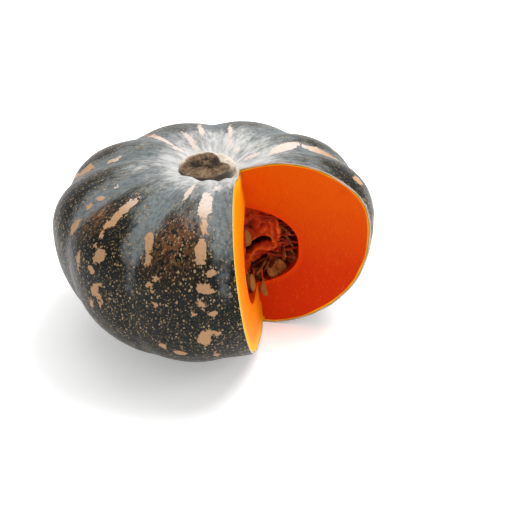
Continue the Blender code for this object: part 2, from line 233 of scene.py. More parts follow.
class PumpkinFleshSettings(bpy.types.PropertyGroup):
    flesh: colour("Flesh", "Flesh at the top of the wall", (0.73, 0.097, 0.0005))
    low_flesh: colour("Low flesh", "Redder flesh towards the base", (0.55, 0.027, 0.0005))
    # Margin and amber are also laid over the left cut as painted light
    margin: colour("Margin", "Flesh just inside the rind", (0.9, 0.5, 0.012))
    amber: colour("Amber", "Flesh beside the margin, and over the left cut", (0.9, 0.27, 0.003))
    # Lining: redder flesh round the hollow, partly its own colour and partly painted shade of the
    # hollow
    lining: colour("Lining", "Flesh round the seed hollow", (0.72, 0.05, 0.001))
    margin_width: FloatProperty(
        name="Margin width", description="How far the yellow margin reaches in from the rind",
        default=0.8 * MM, min=0.5 * MM, max=20 * MM, unit="LENGTH",
    )


class PumpkinStemSettings(bpy.types.PropertyGroup):
    wood: colour("Wood", "Cut face of the stem", (0.078, 0.046, 0.024))
    pale_wood: colour("Pale wood", "Paler grain of the cut face", (0.21, 0.14, 0.08))
    pit: colour("Pits", "Dark pits in the cut face", (0.011, 0.006, 0.004))
    cork: colour("Cork", "Corky flank", (0.66, 0.58, 0.48))
    # Painted shadow: the dark colour laid on the flank under the overhanging rim
    painted_rim_shadow: colour("Bark", "Dark underside of the overhanging rim", (0.03, 0.02, 0.012))


class PumpkinHollowSettings(bpy.types.PropertyGroup):
    pulp: colour("Pulp", "Wet pulp", (0.42, 0.03, 0.003))
    # Crests are lighter partly by their own paler colour and partly as painted light on the raised
    # folds
    crest: colour("Crests", "Strands that stand out of the pulp", (0.64, 0.09, 0.005))
    # Painted shade: near black in the gaps between the strands
    gap_shade: colour("Depths", "Pulp deep between the strands", (0.03, 0.002, 0.002))
    seed: colour("Seeds", "Seed coat", (0.48, 0.18, 0.035))
    seed_rim: colour("Seed rims", "Raised rim of a seed", (0.4, 0.2, 0.07))
    # Clinging pulp, darkened further as painted shade
    stain_and_shade: colour("Stain", "Pulp that clings to the seeds", (0.1, 0.014, 0.003))
    seed_length: FloatProperty(
        name="Seed length", description="Length of a seed", default=16 * MM,
        min=8 * MM, max=25 * MM, unit="LENGTH",
    )
    seed_width: FloatProperty(
        name="Seed width", description="Width of a seed", default=9.5 * MM,
        min=4 * MM, max=15 * MM, unit="LENGTH",
    )
    seeds_per_row: IntProperty(
        name="Seeds in a row", description="Seeds on each strand", default=11, min=3, max=20
    )


class PumpkinStageSettings(bpy.types.PropertyGroup):
    floor: colour("Floor", "Plain floor", (0.95, 0.95, 0.95))
    glow: FloatProperty(
        name="Glow", description="Light that the floor gives off", default=0.3, min=0, max=2
    )
    sky: FloatProperty(
        name="Sky", description="Brightness of the even light all round", default=0.66, min=0, max=5
    )
    key: FloatProperty(
        name="Key light", description="Power of the soft light from the right", default=14,
        min=0, max=200, unit="POWER",
    )
    lens: FloatProperty(
        name="Lens", description="Focal length", default=98.99, min=10, max=400, unit="CAMERA"
    )


# Meshes


def deselect_all():
    if bpy.context.mode != "OBJECT":
        bpy.ops.object.mode_set(mode="OBJECT")
    bpy.ops.object.select_all(action="DESELECT")


def activate(obj):
    deselect_all()
    obj.select_set(True)
    bpy.context.view_layer.objects.active = obj


def apply_modifiers(obj):
    activate(obj)
    for modifier in list(obj.modifiers):
        bpy.ops.object.modifier_apply(modifier=modifier.name)


def edit_all(obj, *changes):
    """Runs each change, an operator with its settings, on the whole of the object's mesh."""
    activate(obj)
    bpy.ops.object.mode_set(mode="EDIT")
    for operator, settings in changes:
        bpy.ops.mesh.select_all(action="SELECT")
        operator(**settings)
    bpy.ops.object.mode_set(mode="OBJECT")


def remove(*objects):
    for obj in objects:
        bpy.data.objects.remove(obj, do_unlink=True)


def cut_away(obj, *cutters):
    """Takes the cutters' shapes out of the object, and removes the cutters."""
    for cutter in cutters:
        modifier = obj.modifiers.new("Difference", "BOOLEAN")
        modifier.operation = "DIFFERENCE"
        modifier.solver = "EXACT"
        modifier.object = cutter
    apply_modifiers(obj)
    remove(*cutters)


def join(name, objects):
    activate(objects[0])
    for obj in objects:
        obj.select_set(True)
    bpy.ops.object.join()
    objects[0].name = objects[0].data.name = name
    return objects[0]


def shaped_sphere(name, segments, rings, place):
    """A UV sphere whose points are set by place(azimuth, turn): turn runs from 0 at the top pole to
    pi at the bottom one. Returns the object with each point's azimuth and turn."""
    deselect_all()
    bpy.ops.mesh.primitive_uv_sphere_add(segments=segments, ring_count=rings, radius=1)
    obj = bpy.context.object
    obj.name = obj.data.name = name
    places = points_of(obj.data)
    azimuths = np.arctan2(places[:, 1], places[:, 0])
    turns = np.arccos(np.clip(places[:, 2].astype(float), -1, 1))
    for vertex, azimuth, turn in zip(obj.data.vertices, azimuths, turns):
        vertex.co = place(float(azimuth), float(turn))
    obj.data.update()
    return obj, azimuths, turns


def finish_piece(obj, slot, material, *nodes):
    """Smooths the piece, gives it its material, and ties it to the frame."""
    activate(obj)
    bpy.ops.object.shade_smooth_by_angle(angle=CUT_SHARP_ANGLE)
    obj.data.materials.clear()
    obj.data.materials.append(material)
    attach(obj, "root")
    if nodes:
        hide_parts(*nodes)
    return obj


def points_of(mesh):
    places = np.empty(len(mesh.vertices) * 3, np.float32)
    mesh.vertices.foreach_get("co", places)
    return places.reshape(-1, 3)


def store(mesh, name, values):
    """Keeps a number or a vector a point on the mesh's corners, where a Boolean carries it along."""
    corners = np.empty(len(mesh.loops), np.int32)
    mesh.loops.foreach_get("vertex_index", corners)
    values = np.asarray(values, np.float32)[corners]
    kind, field = ("FLOAT_VECTOR", "vector") if values.ndim == 2 else ("FLOAT", "value")
    attribute = mesh.attributes.get(name) or mesh.attributes.new(name, kind, "CORNER")
    attribute.data.foreach_set(field, values.ravel())


def tree_of(obj):
    work = bmesh.new()
    work.from_mesh(obj.data)
    tree = BVHTree.FromBMesh(work)
    work.free()
    return tree


def distances(mesh, tree, reach):
    """Distance of each point of the mesh from the tree's surface, up to reach."""
    found = []
    for vertex in mesh.vertices:
        nearest = tree.find_nearest(vertex.co, reach)
        found.append(reach if nearest[0] is None else nearest[3])
    return np.array(found)


# The fruit's shape


def polar(azimuth, radius, height):
    return Vector((radius * math.cos(azimuth), radius * math.sin(azimuth), height))


def profile_point(turn):
    across, rise = abs(math.sin(turn)), math.cos(turn)
    if rise > 0:
        power, height, dimple_depth = CROWN_SQUARENESS, CROWN_HEIGHT, -STEM_DIMPLE
    else:
        power, height, dimple_depth = BELLY_SQUARENESS, -BELLY_DEPTH, BLOSSOM_DIMPLE
    radius = BODY_RADIUS * across ** (2 / power)
    dimple = math.exp(-((radius / DIMPLE_WIDTH) ** 2))
    return radius, height * abs(rise) ** (2 / power) + dimple * dimple_depth


def groove_share(azimuth):
    """0 on the crest of a rib, 1 in the groove beside it."""
    wave = math.sin(RIB_COUNT / 2 * (azimuth - FIRST_GROOVE))
    ridge = math.hypot(wave, GROOVE_SOFTNESS) - GROOVE_SOFTNESS
    return 1 - ridge / (math.hypot(1, GROOVE_SOFTNESS) - GROOVE_SOFTNESS)


def groove_depth(azimuth, radius, height):
    crown_share = max(1 + GROOVE_CROWN_SHARE * height / CROWN_HEIGHT, 0)
    fade = (radius / BODY_RADIUS) ** GROOVE_FADE
    return GROOVE_DEPTH * groove_share(azimuth) * fade * crown_share


def lean(point):
    azimuth = math.atan2(point.y, point.x)
    spread = 1 + BODY_SHIFT_X * math.cos(azimuth) + BODY_SHIFT_Y * math.sin(azimuth)
    crown = min(max(point.z / CROWN_HEIGHT, 0), 1)
    tilt = crown * (CROWN_TILT_X * point.x + CROWN_TILT_Y * point.y)
    belly = max(-point.z / BELLY_DEPTH, 0)
    towards = max(math.cos(azimuth - TUCK_AZIMUTH), 0) ** TUCK_POWER
    tuck = BELLY_TUCK * belly * towards * math.hypot(point.x, point.y)
    height = max(point.z + tilt + tuck + WIDEST_LEVEL, 0)
    return Vector((point.x * spread, point.y * spread, height))


def swell(place):
    return sum(noise.noise(place / size) * amount for size, amount in SWELLS)


def skin_place(azimuth, turn):
    radius, height = profile_point(turn)
    before = profile_point(max(turn - TURN_STEP, 0))
    after = profile_point(min(turn + TURN_STEP, math.pi))
    outward = Vector((before[1] - after[1], after[0] - before[0])).normalized()
    depth = groove_depth(azimuth, radius, height) + swell(polar(azimuth, radius, height))
    point = polar(azimuth, radius - outward.x * depth, height - outward.y * depth)
    return lean(point) + AXIS_PLACE


def new_skin(name):
    return shaped_sphere(name, SKIN_SEGMENTS, SKIN_RINGS, skin_place)


def ring_coordinates():
    """For the skin's rings: turn, radius, and distance from the stem along the skin."""
    turns = np.linspace(0, math.pi, SKIN_RINGS + 1)
    profile = np.array([profile_point(turn) for turn in turns])
    steps = np.hypot(*np.diff(profile, axis=0).T)
    return turns, profile[:, 0], np.concatenate([[0], np.cumsum(steps)])


def cut_normal(azimuth):
    """The normal, towards the wedge that is taken out, of the cut at this azimuth."""
    outward = polar(azimuth, 1, 0)
    normal = outward.cross(CUT_LINE_TOP - CUT_LINE_BASE).normalized()
    middle = polar((RIGHT_CUT + LEFT_CUT) / 2, 1, 0)
    return normal if normal.dot(middle) > 0 else -normal


def new_wedge(setback):
    """A large cube trimmed to the space between the two cuts, each moved back by setback."""
    deselect_all()
    bpy.ops.mesh.primitive_cube_add(size=2 * CUTTER_REACH)
    wedge = bpy.context.object
    changes = []
    for azimuth in (RIGHT_CUT, LEFT_CUT):
        normal = cut_normal(azimuth)
        plane = {"plane_co": CUT_LINE_TOP + AXIS_PLACE - normal * setback, "plane_no": normal}
        changes.append((bpy.ops.mesh.bisect, {**plane, "use_fill": True, "clear_inner": True}))
    edit_all(wedge, *changes, (bpy.ops.mesh.normals_make_consistent, {"inside": False}))
    return wedge


def refine_cuts(obj, cell):
    """Divides the two flat cut sides into small cells, so that they can carry a pattern."""
    work = bmesh.new()
    work.from_mesh(obj.data)
    work.normal_update()
    for azimuth in (RIGHT_CUT, LEFT_CUT):
        normal, outward = cut_normal(azimuth), polar(azimuth, 1, 0)
        on_plane = CUT_LINE_TOP + AXIS_PLACE
        faces = [
            face
            for face in work.faces
            if abs(face.normal.dot(normal)) > CUT_FLATNESS
            and abs((face.calc_center_median() - on_plane).dot(normal)) < cell / 50
        ]
        faces = bmesh.ops.triangulate(work, faces=faces)["faces"]
        for direction, start, count in (
            (outward, 0, int(BODY_RADIUS * 1.2 / cell)),
            (normal.cross(outward), -1, int(WIDEST_LEVEL * 3.4 / cell)),
        ):
            geometry = list(faces)
            geometry += dict.fromkeys(edge for face in faces for edge in face.edges)
            geometry += dict.fromkeys(vertex for face in faces for vertex in face.verts)
            origin = AXIS_PLACE + Vector((0, 0, WIDEST_LEVEL))
            for number in range(count):
                offset = (number + 0.5 + (start * count / 2)) * cell
                geometry = bmesh.ops.bisect_plane(
                    work, geom=geometry, plane_co=origin + direction * offset, plane_no=direction
                )["geom"]
            faces = [item for item in geometry if isinstance(item, bmesh.types.BMFace)]
    work.to_mesh(obj.data)
    work.free()


# Materials


class Surface:
    """A procedural material on Object coordinates and the piece's own attributes."""

    def __init__(self, name, roughness, specular=0.5):
        self.material = bpy.data.materials.new(name)
        self.material.use_nodes = True
        self.nodes = self.material.node_tree.nodes
        self.links = self.material.node_tree.links
        self.shader = self.nodes["Principled BSDF"]
        self.shader.inputs["Roughness"].default_value = roughness
        self.shader.inputs["Specular IOR Level"].default_value = specular
        self.place = self.nodes.new("ShaderNodeTexCoord").outputs["Object"]

    def put(self, value, socket):
        if isinstance(value, bpy.types.NodeSocket):
            self.links.new(value, socket)
        elif hasattr(value, "__len__") and len(value) == 3 and socket.type == "RGBA":
            socket.default_value = (*value, 1)
        else:
            socket.default_value = value

    def attribute(self, name, output="Fac"):
        node = self.nodes.new("ShaderNodeAttribute")
        node.attribute_name = name
        return node.outputs[output]

    def stretched(self, scale):
        node = self.nodes.new("ShaderNodeMapping")
        self.put(self.place, node.inputs["Vector"])
        node.inputs["Scale"].default_value = scale
        return node.outputs["Vector"]

    def noise(self, size, detail=3, roughness=0.55, vector=None):
        node = self.nodes.new("ShaderNodeTexNoise")
        self.put(vector or self.place, node.inputs["Vector"])
        node.inputs["Scale"].default_value = 1 / size
        node.inputs["Detail"].default_value = detail
        node.inputs["Roughness"].default_value = roughness
        return node.outputs["Fac"]

    def height(self):
        node = self.nodes.new("ShaderNodeSeparateXYZ")
        self.put(self.place, node.inputs["Vector"])
        return node.outputs["Z"]

    def cells(self, size, vector):
        """Distance to the nearest cell's centre, in cell sizes, and two random numbers a cell."""
        node = self.nodes.new("ShaderNodeTexVoronoi")
        self.put(vector, node.inputs["Vector"])
        node.inputs["Scale"].default_value = 1 / size
        draws = self.nodes.new("ShaderNodeSeparateColor")
        self.put(node.outputs["Color"], draws.inputs["Color"])
        return node.outputs["Distance"], draws.outputs["Red"], draws.outputs["Green"]

    def math(self, operation, first, second):
        node = self.nodes.new("ShaderNodeMath")
        node.operation = operation
        self.put(first, node.inputs[0])
        self.put(second, node.inputs[1])
        return node.outputs["Value"]

    def plus(self, first, second):
        return self.math("ADD", first, second)

    def minus(self, first, second):
        return self.math("SUBTRACT", first, second)

    def times(self, first, second):
        return self.math("MULTIPLY", first, second)

    def swing(self, pattern, amount):
        """Turns a pattern from 0 to 1 into a swing round 0 that is amount wide."""
        return self.times(self.minus(pattern, 0.5), amount)

    def rise(self, value, low, high, first=0.0, last=1.0):
        """Goes smoothly from first to last as value goes from low to high."""
        node = self.nodes.new("ShaderNodeMapRange")
        node.interpolation_type = "SMOOTHSTEP"
        for number, socket in zip((value, low, high, first, last), node.inputs):
            self.put(number, socket)
        return node.outputs["Result"]

    def blend(self, share, first, second):
        node = self.nodes.new("ShaderNodeMix")
        node.data_type = "RGBA"
        self.put(share, node.inputs["Factor"])
        first_colour, second_colour = [socket for socket in node.inputs if socket.type == "RGBA"]
        self.put(first, first_colour)
        self.put(second, second_colour)
        return next(socket for socket in node.outputs if socket.type == "RGBA")

    def bump(self, height, depth):
        """Adds relief: height from 0 to 1 stands for depth metres."""
        node = self.nodes.new("ShaderNodeBump")
        node.inputs["Strength"].default_value = 1
        node.inputs["Distance"].default_value = depth
        self.put(height, node.inputs["Height"])
        if self.shader.inputs["Normal"].is_linked:
            self.put(self.shader.inputs["Normal"].links[0].from_socket, node.inputs["Normal"])
        self.put(node.outputs["Normal"], self.shader.inputs["Normal"])

    def subsurface(self, weight, radius, scale):
        for name, value in (("Weight", weight), ("Radius", radius), ("Scale", scale)):
            self.shader.inputs["Subsurface " + name].default_value = value

    def colour(self, value):
        self.put(value, self.shader.inputs["Base Color"])
        return self.material


def add_specks(surface, tone, settings, grown, cloud, bare):
    """Lays the fine specks over the tone, where the skin is bare of bloom."""
    for size_share, largest, strength in SPECK_LAYERS:
        size = settings.speck_size * size_share
        distance, chance, tint = surface.cells(size, grown)
        radius = surface.rise(chance, 0.3, 1, 0, largest)
        uneven = surface.swing(surface.noise(size * 0.7, 2), 0.9)
        inside = surface.plus(surface.minus(radius, distance), uneven)
        dots = surface.rise(inside, -0.04, 0.08)
        dots = surface.times(dots, surface.rise(cloud, 0.3, 0.5, 0.6, 1))
        dots = surface.times(dots, surface.times(bare, strength))
        speck = surface.blend(surface.rise(tint, 0.3, 0.7), settings.olive, settings.speck)
        tone = surface.blend(dots, tone, speck)
    return tone


def rind_material(settings):
    surface = Surface("Speckled rind", 0.42, 0.12)
    grown = surface.attribute("grown", "Vector")
    reach = surface.attribute("reach")
    groove = surface.attribute("groove")
    mark = surface.attribute("mark")
    tinge = surface.attribute("tinge")
    cloud = surface.noise(30 * MM, 4, 0.6)
    grain = surface.noise(2.2 * MM, 3, 0.6)
    streaks = surface.noise(9 * MM, 4, 0.65, vector=grown)
    fine_streaks = surface.noise(3 * MM, 3, 0.6, vector=grown)

    # The bloom ends at a ragged border, further out in the grooves than on the ribs
    groove_bloom = surface.times(groove, GROOVE_BLOOM)
    border = surface.plus(surface.minus(settings.bloom_reach, reach), groove_bloom)
    for pattern, amount in ((cloud, 70 * MM), (streaks, 60 * MM), (fine_streaks, 26 * MM)):
        border = surface.plus(border, surface.swing(pattern, amount))
    bloom = surface.rise(border, -24 * MM, 22 * MM)
    thick = surface.rise(surface.minus(border, groove_bloom), 6 * MM, 52 * MM)
    thick = surface.times(thick, surface.rise(streaks, 0.3, 0.6, 0.6, 1))
    tone = surface.blend(surface.rise(grain, 0.4, 0.68), settings.dark, settings.grey)
    rust = surface.times(tinge, surface.rise(fine_streaks, 0.42, 0.54, 0, 0.65))
    tone = surface.blend(rust, tone, settings.tinge)
    film = surface.times(bloom, surface.rise(fine_streaks, 0.36, 0.58, 0.6, 0.95))
    tone = surface.blend(film, tone, settings.bloom)
    tone = surface.blend(surface.times(thick, 0.95), tone, settings.silver)

    bare = surface.rise(border, 55 * MM, 5 * MM, 0.1, 1)
    tone = add_specks(surface, tone, settings, grown, cloud, bare)

    # The marks have wavy, ragged edges, wavier further from the stem
    waves = surface.rise(reach, 55 * MM, 100 * MM, 2, 8)
    edge = surface.plus(mark, surface.swing(surface.noise(7 * MM, 3, 0.6), waves))
    edge = surface.plus(edge, surface.swing(surface.noise(2 * MM, 2, 0.5), 3.2))
    inside = surface.rise(edge, 0.35, -0.3)
    pale = surface.blend(
        surface.rise(reach, 102 * MM, 70 * MM), settings.mark, settings.pale_mark
    )
    pale = surface.blend(surface.rise(reach, 120 * MM, 210 * MM), pale, settings.low_mark)
    pale = surface.blend(surface.rise(grain, 0.5, 0.75, 0, 0.3), pale, settings.tinge)
    tone = surface.blend(surface.times(inside, 0.95), tone, pale)

    depth = surface.attribute("depth")
    tone = surface.blend(surface.rise(depth, 0.25, 0.6), tone, settings.edge)
    surface.put(surface.rise(bloom, 0, 1, 0.36, 0.6), surface.shader.inputs["Roughness"])
    surface.shader.inputs["Sheen Weight"].default_value = 0.14
    surface.shader.inputs["Sheen Roughness"].default_value = 0.18
    surface.bump(surface.noise(7 * MM, 3, 0.5), 0.7 * MM)
    surface.bump(grain, 0.3 * MM)
    surface.bump(inside, 0.1 * MM)
    return surface.colour(tone)


def flesh_material(settings):
    surface = Surface("Orange flesh", 0.5, 0.03)
    margin = surface.attribute("margin")
    lining = surface.attribute("lining")
    cloud = surface.noise(22 * MM, 3, 0.5)
    fibre = surface.noise(1.5 * MM, 4, 0.65, vector=surface.stretched((1, 1, 0.45)))
    width = settings.margin_width
    swing = surface.swing(cloud, 2 * MM)
    reach = surface.plus(margin, swing)
    # The flesh is darker and redder towards the base
    level = surface.plus(surface.height(), surface.times(swing, 12))
    tone = surface.blend(
        surface.rise(level, 35 * MM, 150 * MM), settings.low_flesh, settings.flesh
    )
    tone = surface.blend(surface.rise(reach, 1.8 * width, 0.5 * width), tone, settings.amber)
    tone = surface.blend(surface.rise(reach, 0.4 * width, 0.05 * width), tone, settings.margin)
    # Painted light: the left cut, which faces the key light, is painted paler all over, and its
    # yellow margin is painted broad and soft
    left = surface.attribute("left")
    pale = surface.times(left, surface.rise(margin, 55 * MM, 4 * MM, 0.42, 0.8))
    tone = surface.blend(pale, tone, settings.amber)
    lit_margin = surface.times(left, surface.rise(margin, 12 * MM, 0, 0, 0.65))
    tone = surface.blend(lit_margin, tone, settings.margin)
    # Round the hollow the flesh turns redder and darker, partly its own colour and partly painted
    # shade
    tone = surface.blend(surface.rise(lining, 6 * MM, 0.5 * MM, 0, 0.7), tone, settings.lining)
    tone = surface.blend(surface.rise(fibre, 0.5, 0.78, 0, 0.16), tone, settings.amber)
    tone = surface.blend(surface.rise(cloud, 0.55, 0.8, 0, 0.3), tone, settings.low_flesh)
    surface.subsurface(0.06, (1.0, 0.35, 0.1), 1.5 * MM)
    surface.bump(surface.noise(9 * MM, 2, 0.5), 0.5 * MM)
    surface.bump(fibre, 0.12 * MM)
    return surface.colour(tone)


def stem_material(settings):
    surface = Surface("Woody stem", 0.8, 0.2)
    top = surface.attribute("top")
    rim = surface.attribute("rim")
    pit = surface.attribute("pit")
    spoke = surface.attribute("spoke")
    rim_shade = surface.attribute("rim_shade")
    grain = surface.noise(2 * MM, 4, 0.65)
    cloud = surface.noise(7 * MM, 3, 0.6)
    mix = surface.plus(surface.times(grain, 0.6), surface.times(cloud, 0.5))
    mix = surface.plus(mix, surface.times(spoke, 0.1))
    wood = surface.blend(surface.rise(mix, 0.45, 0.68), settings.wood, settings.pale_wood)
    hole = surface.times(pit, surface.rise(grain, 0.3, 0.6, 1, 0.85))
    wood = surface.blend(hole, wood, settings.pit)
    cork = surface.blend(surface.rise(cloud, 0.45, 0.75, 0, 0.5), settings.cork, settings.pale_wood)
    # Painted shadow under the rim darkens the flank, most at the front left
    cork = surface.blend(surface.times(rim_shade, 0.93), cork, settings.painted_rim_shadow)
    tone = surface.blend(top, cork, wood)
    # The pale rim fades out where the painted shadow lies
    edge = surface.times(rim, surface.rise(rim_shade, 0.7, 0.1, 0, 0.85))
    tone = surface.blend(edge, tone, settings.cork)
    tone = surface.blend(surface.rise(grain, 0.62, 0.8, 0, 0.35), tone, settings.wood)
    surface.bump(grain, 0.7 * MM)
    surface.bump(spoke, 0.15 * MM)
    return surface.colour(tone)


def pulp_material(name, settings):
    surface = Surface(name, 0.4, 0.12)
    crest = surface.attribute("crest")
    cloud = surface.noise(7 * MM, 3, 0.6)
    fibre = surface.noise(0.9 * MM, 3, 0.6, vector=surface.stretched((1, 1, 0.5)))
    # The pulp is painted near black in its gaps as painted shade, and lighter on its crests, partly
    # as painted light
    height = surface.plus(crest, surface.swing(cloud, 0.5))
    tone = surface.blend(surface.rise(height, 0.05, 0.5), settings.gap_shade, settings.pulp)
    tone = surface.blend(surface.rise(height, 0.55, 1), tone, settings.crest)
    tone = surface.blend(surface.rise(fibre, 0.55, 0.8, 0, 0.3), tone, settings.crest)
    surface.subsurface(0.1, (1.0, 0.3, 0.1), 1 * MM)
    surface.bump(fibre, 0.25 * MM)
    return surface.colour(tone)


def seed_material(settings):
    surface = Surface("Wet seeds", 0.45, 0.08)
    rim = surface.attribute("rim")
    stain_and_shade = surface.attribute("stain_and_shade")
    cloud = surface.noise(5 * MM, 3, 0.6)
    tone = surface.blend(surface.rise(rim, 0.55, 0.85, 0, 0.6), settings.seed, settings.seed_rim)
    # Clinging pulp and painted shade darken the seed in clouds
    stain_and_shade_share = surface.times(stain_and_shade, surface.rise(cloud, 0.3, 0.6, 0.5, 1))
    tone = surface.blend(stain_and_shade_share, tone, settings.stain_and_shade)
    surface.bump(surface.noise(0.8 * MM, 2, 0.5), 0.1 * MM)
    return surface.colour(tone)


# Pieces


def all_marks():
    """The marks that show in front, and seeded ones of the same kind round the back."""
    draws = random.Random(MARK_SEED)
    marks = list(MARKS)
    for column in HIDDEN_COLUMNS:
        distance = draws.uniform(*HIDDEN_START)
        while distance < HIDDEN_END:
            length = draws.choice(HIDDEN_LENGTHS)
            width = min(length, draws.uniform(*HIDDEN_WIDTHS))
            azimuth = column + draws.uniform(-HIDDEN_STRAY, HIDDEN_STRAY)
            slant = draws.uniform(-HIDDEN_SLANT, HIDDEN_SLANT)
            marks.append((azimuth, slant, distance, length, width))
            distance += length / 2 + draws.uniform(*HIDDEN_GAPS)
    return marks


def turn_from(azimuths, degrees):
    """How far each azimuth is from one given in degrees, the short way round."""
    return (azimuths - math.radians(degrees) + math.pi) % (2 * math.pi) - math.pi


def mark_distance(azimuths, reaches, radii):
    """Distance in millimetres from the edge of the nearest mark, less than 0 inside it."""
    nearest = np.full(azimuths.shape, FAR_FROM_MARKS)
    for azimuth, slant, reach, length, width in all_marks():
        across, along = turn_from(azimuths, azimuth) * radii / MM, reaches / MM - reach
        tilt = math.radians(slant)
        long_way = along * math.cos(tilt) + across * math.sin(tilt)
        short_way = across * math.cos(tilt) - along * math.sin(tilt)
        share = np.hypot(long_way / (length / 2), short_way / (width / 2))
        nearest = np.minimum(nearest, (share - 1) * min(length, width) / 2)
    return nearest


def tinge_shares(azimuths, reaches, radii):
    """1 in the middle of a rusty tinge, 0 away from it."""
    tinge = np.zeros(len(azimuths))
    for azimuth, reach, size in TINGES:
        away = np.hypot(turn_from(azimuths, azimuth) * radii, reaches - reach * MM) / (size * MM)
        tinge = np.maximum(tinge, np.exp(-(away**2)))
    return tinge


class PUMPKIN_OT_rind(bpy.types.Operator):
    """Makes the ribbed, speckled rind, cut open where the wedge was taken out"""

    bl_idname = "pumpkin.rind"
    bl_label = "Rind"

    def execute(self, context):
        skin, azimuths, point_turns = new_skin("speckled_rind")
        turns, ring_radii, ring_reaches = ring_coordinates()
        radii = np.interp(point_turns, turns, ring_radii)
        reaches = np.interp(point_turns, turns, ring_reaches)
        grooves = np.array([groove_share(azimuth) for azimuth in azimuths])
        round_the_stem = np.stack([np.cos(azimuths), np.sin(azimuths)]) * GROWN_RADIUS
        store(skin.data, "grown", np.stack([*round_the_stem, reaches * GROWN_STRETCH], axis=1))
        store(skin.data, "reach", reaches)
        store(skin.data, "groove", grooves**GROOVE_NARROWNESS)
        store(skin.data, "mark", mark_distance(azimuths, reaches, radii))
        store(skin.data, "tinge", tinge_shares(azimuths, reaches, radii))
        outside = tree_of(skin)
        shell = skin.modifiers.new("Wall", "SOLIDIFY")
        shell.thickness = RIND_THICKNESS
        shell.offset = -1
        cut_away(skin, new_wedge(0))
        store(skin.data, "depth", distances(skin.data, outside, RIND_THICKNESS) / RIND_THICKNESS)
        finish_piece(skin, "rind", rind_material(context.scene.pumpkin_rind), "rind")
        return {"FINISHED"}


# How fast the lining's colour, partly painted shade of the hollow, fades on the lit left cut, next
# to the right one
LEFT_LINING_SHARE = 3
# Further from a surface than any point of the flesh
FLESH_REACH = 0.1
# Ripples of the hollow's wall: how many go round, how high they are, and their depth as a share
HOLLOW_RIPPLES = 9
HOLLOW_RIPPLE_HEIGHT = 14 * MM
HOLLOW_RIPPLE_DEPTH = 0.018


def hollow_place(azimuth, turn):
    across, rise = abs(math.sin(turn)), math.cos(turn)
    radius = HOLLOW_RADIUS * across ** (2 / HOLLOW_SQUARENESS)
    height = math.copysign(HOLLOW_HALF_HEIGHT * abs(rise) ** (2 / HOLLOW_SQUARENESS), rise)
    point = polar(azimuth, radius, height)
    point *= 1 + HOLLOW_RIPPLE_DEPTH * noise.noise(
        polar(azimuth, HOLLOW_RIPPLES, height / HOLLOW_RIPPLE_HEIGHT)
    )
    return point + Vector((0, 0, HOLLOW_LEVEL)) + AXIS_PLACE


class PUMPKIN_OT_flesh(bpy.types.Operator):
    """Makes the thick orange wall round the seed hollow, with its two flat cuts"""

    bl_idname = "pumpkin.flesh"
    bl_label = "Flesh"

    def execute(self, context):
        flesh, _, _ = new_skin("orange_flesh")
        outside = tree_of(flesh)
        inset = RIND_THICKNESS + LAYER_GAP
        edit_all(flesh, (bpy.ops.transform.shrink_fatten, {"value": -inset}))
        hollow, _, _ = shaped_sphere("hollow", HOLLOW_SEGMENTS, HOLLOW_RINGS, hollow_place)
        inside = tree_of(hollow)
        cut_away(flesh, hollow, new_wedge(0))
        refine_cuts(flesh, CUT_CELL)
        margins = distances(flesh.data, outside, FLESH_REACH) - RIND_THICKNESS - LAYER_GAP
        normal = cut_normal(LEFT_CUT)
        offsets = (points_of(flesh.data) - np.array(CUT_LINE_TOP + AXIS_PLACE)) @ np.array(normal)
        # Marks the left cut, which the flesh's material paints lighter as painted light
        on_left = np.abs(offsets) < CUT_CELL / 10
        store(flesh.data, "margin", np.maximum(margins, 0))
        store(flesh.data, "left", on_left)
        linings = distances(flesh.data, inside, FLESH_REACH)
        store(flesh.data, "lining", np.where(on_left, linings * LEFT_LINING_SHARE, linings))
        finish_piece(flesh, "flesh", flesh_material(context.scene.pumpkin_flesh), "flesh")
        return {"FINISHED"}


# The stem from the middle of its cut face down to its foot: share of the half width, height above
# STEM_CENTRE in millimetres, share of the slant, and share of the face's shift to the left
STEM_PROFILE = (
    (0.0, 6.9, 1.0, 1.0),
    (0.12, 6.9, 1.0, 1.0),
    (0.25, 6.9, 1.0, 1.0),
    (0.4, 7.0, 1.0, 1.0),
    (0.55, 7.2, 1.0, 1.0),
    (0.68, 7.5, 1.0, 1.0),
    (0.76, 7.9, 1.0, 1.0),
    (0.81, 8.1, 1.0, 1.0),
    (0.84, 7.9, 1.0, 1.0),
    (0.86, 7.2, 0.95, 0.95),
    (0.86, 5.9, 0.75, 0.8),
    (0.86, 4.4, 0.5, 0.6),
    (0.88, 2.9, 0.28, 0.4),
    (0.92, 1.5, 0.1, 0.2),
    (0.97, 0.3, 0.0, 0.0),
    (1.0, -1.6, 0.0, 0.0),
    (0.98, -5.0, 0.0, 0.0),
    (0.85, -9.0, 0.0, 0.0),
    (0.0, -12.0, 0.0, 0.0),
)
STEM_FACE_SHARE = 0.8
STEM_RIM_WIDTH = 0.06
STEM_SPOKES = 14
STEM_SHADE_AZIMUTH = math.radians(-100)
STEM_SHADE_SPREAD = 0.45
STEM_SHOULDER_AZIMUTH = math.radians(28)
STEM_SHOULDER_SHARE = 0.62
STEM_SHOULDER_DROP = 1.6 * MM
STEM_FACE_SHIFT = -0.6 * MM
# Pits in the stem's cut face: place from the stem's middle, size and depth, in millimetres
STEM_PITS = (
    (-9, 3, 6.2, 3.8, 1.8),
    (6, 4.5, 5.5, 6, 2.2),
    (2, -1.5, 2.2, 1.6, 0.6),
    (-2, 8, 3.2, 1.8, 0.8),
)
STEM_RINGS = 72
# Waves round the stem's outline: how many, their phase and their depth as a share of its width
STEM_WAVES = ((5, 0.6, 0.02), (13, 0, 0.012))
